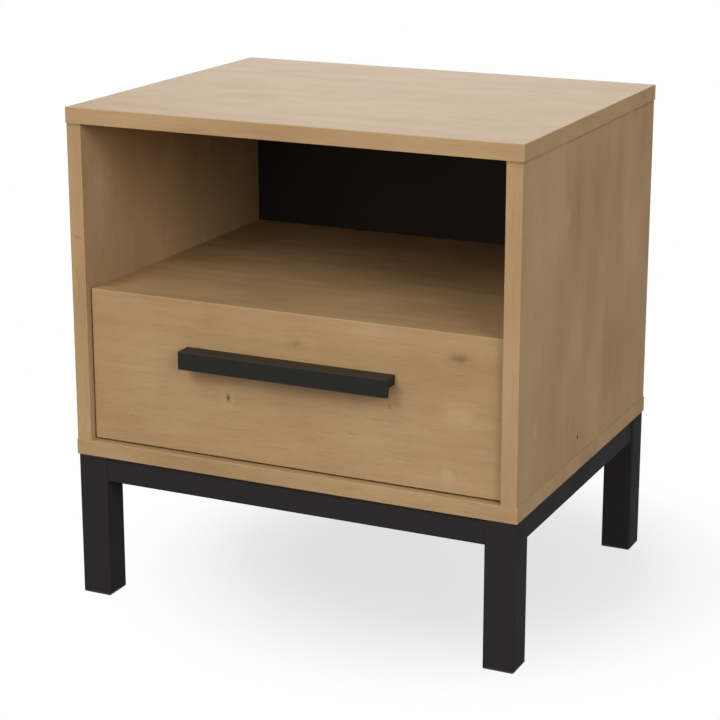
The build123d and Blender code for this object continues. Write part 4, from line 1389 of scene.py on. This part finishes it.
def add_lamp(scene, name, watts):
    """Square area lamp that faces the part."""
    spot, width = LAMPS[name]
    data = bpy.data.lights.new(name, "AREA")
    data.energy = watts
    data.size = width
    lamp = bpy.data.objects.new(name, data)
    lamp.location = spot
    lamp.rotation_euler = (TARGET - Vector(spot)).to_track_quat("-Z", "Y").to_euler()
    lamp.visible_camera = False
    scene.collection.objects.link(lamp)


def floor_material(look):
    """Pale floor that keeps the shadow near the part and turns plain white further out."""
    finish = Finish("floor")
    finish.surface(base_color=look.floor, roughness=FLOOR_ROUGHNESS, specular_ior_level=0.0)
    distance = finish.vector("LENGTH", finish.vector("SUBTRACT", finish.point, look.floor_middle))
    white = finish.ramp(distance, look.floor_near, look.floor_far, look.floor_lift, 1.0)
    glow = finish.node("ShaderNodeEmission")
    mix = finish.node("ShaderNodeMixShader")
    finish.feed(mix.inputs[0], finish.math("MULTIPLY", white, seen_directly(finish.tree)))
    finish.feed(mix.inputs[1], finish.shader.outputs["BSDF"])
    finish.feed(mix.inputs[2], glow.outputs[0])
    finish.feed(finish.output.inputs["Surface"], mix.outputs[0])
    return finish.material


def add_floor(scene, look):
    """Flat floor just below the glides."""
    corners = FLOOR_HALF * np.array([(-1, -1, 0), (1, -1, 0), (1, 1, 0), (-1, 1, 0)], float)
    mesh = bpy.data.meshes.new("floor")
    mesh.from_pydata((corners - FLOOR_DROP * Z_AXIS).tolist(), [], [(0, 1, 2, 3)])
    mesh.materials.append(floor_material(look))
    floor = bpy.data.objects.new("floor", mesh)
    scene.collection.objects.link(floor)


def add_camera(scene, look):
    """Camera at the photograph's viewing angle."""
    data = bpy.data.cameras.new("camera")
    data.lens = look.lens
    data.shift_x = look.shift_x
    data.shift_y = look.shift_y
    camera = bpy.data.objects.new("camera", data)
    camera.location = look.camera
    camera.rotation_euler = (math.pi / 2 - look.tilt, 0.0, look.heading)
    scene.collection.objects.link(camera)
    scene.camera = camera


class NIGHTSTAND_OT_stage(bpy.types.Operator):
    """Adds the camera, the lamps, the surroundings and the floor"""

    bl_idname = "nightstand.stage"
    bl_label = "Stage"

    def execute(self, context):
        scene = context.scene
        look = scene.nightstand_stage
        scene.view_settings.view_transform = "Standard"
        add_camera(scene, look)
        light_world(scene, look)
        for name in LAMPS:
            add_lamp(scene, name, getattr(look, name))
        add_floor(scene, look)
        return {"FINISHED"}


STEPS = (
    NIGHTSTAND_OT_oak_boards,
    NIGHTSTAND_OT_black_coats,
    NIGHTSTAND_OT_drawer_boards,
    NIGHTSTAND_OT_hardware,
    NIGHTSTAND_OT_weld_beads,
    NIGHTSTAND_OT_screws,
    NIGHTSTAND_OT_dowels,
    NIGHTSTAND_OT_stop_pads,
    NIGHTSTAND_OT_release_levers,
    NIGHTSTAND_OT_stage,
)
LOOKS = {
    "nightstand_oak": OakLook,
    "nightstand_coat": CoatLook,
    "nightstand_drawer": DrawerLook,
    "nightstand_hardware": HardwareLook,
    "nightstand_stage": StageLook,
}


class NIGHTSTAND_PT_looks(bpy.types.Panel):
    """Lists the steps that dress the nightstand, and their settings"""

    bl_idname = "NIGHTSTAND_PT_looks"
    bl_label = "Nightstand"
    bl_space_type = "VIEW_3D"
    bl_region_type = "UI"
    bl_category = "Nightstand"

    def draw(self, context):
        for step in STEPS:
            self.layout.operator(step.bl_idname)
        for name, kind in LOOKS.items():
            box = self.layout.box()
            for prop in kind.__annotations__:
                box.prop(getattr(context.scene, name), prop)


CLASSES = (*LOOKS.values(), *STEPS, NIGHTSTAND_PT_looks)


def register():
    """Adds the classes, and the settings to every scene."""
    for item in CLASSES:
        bpy.utils.register_class(item)
    for name, kind in LOOKS.items():
        setattr(bpy.types.Scene, name, PointerProperty(type=kind))


def unregister():
    """Takes the settings and the classes away again."""
    for name in LOOKS:
        delattr(bpy.types.Scene, name)
    for item in reversed(CLASSES):
        bpy.utils.unregister_class(item)


def main():
    """Runs every step in order."""
    register()
    for step in STEPS:
        group, name = step.bl_idname.split(".")
        getattr(getattr(bpy.ops, group), name)()


if __name__ == "__main__":
    main()
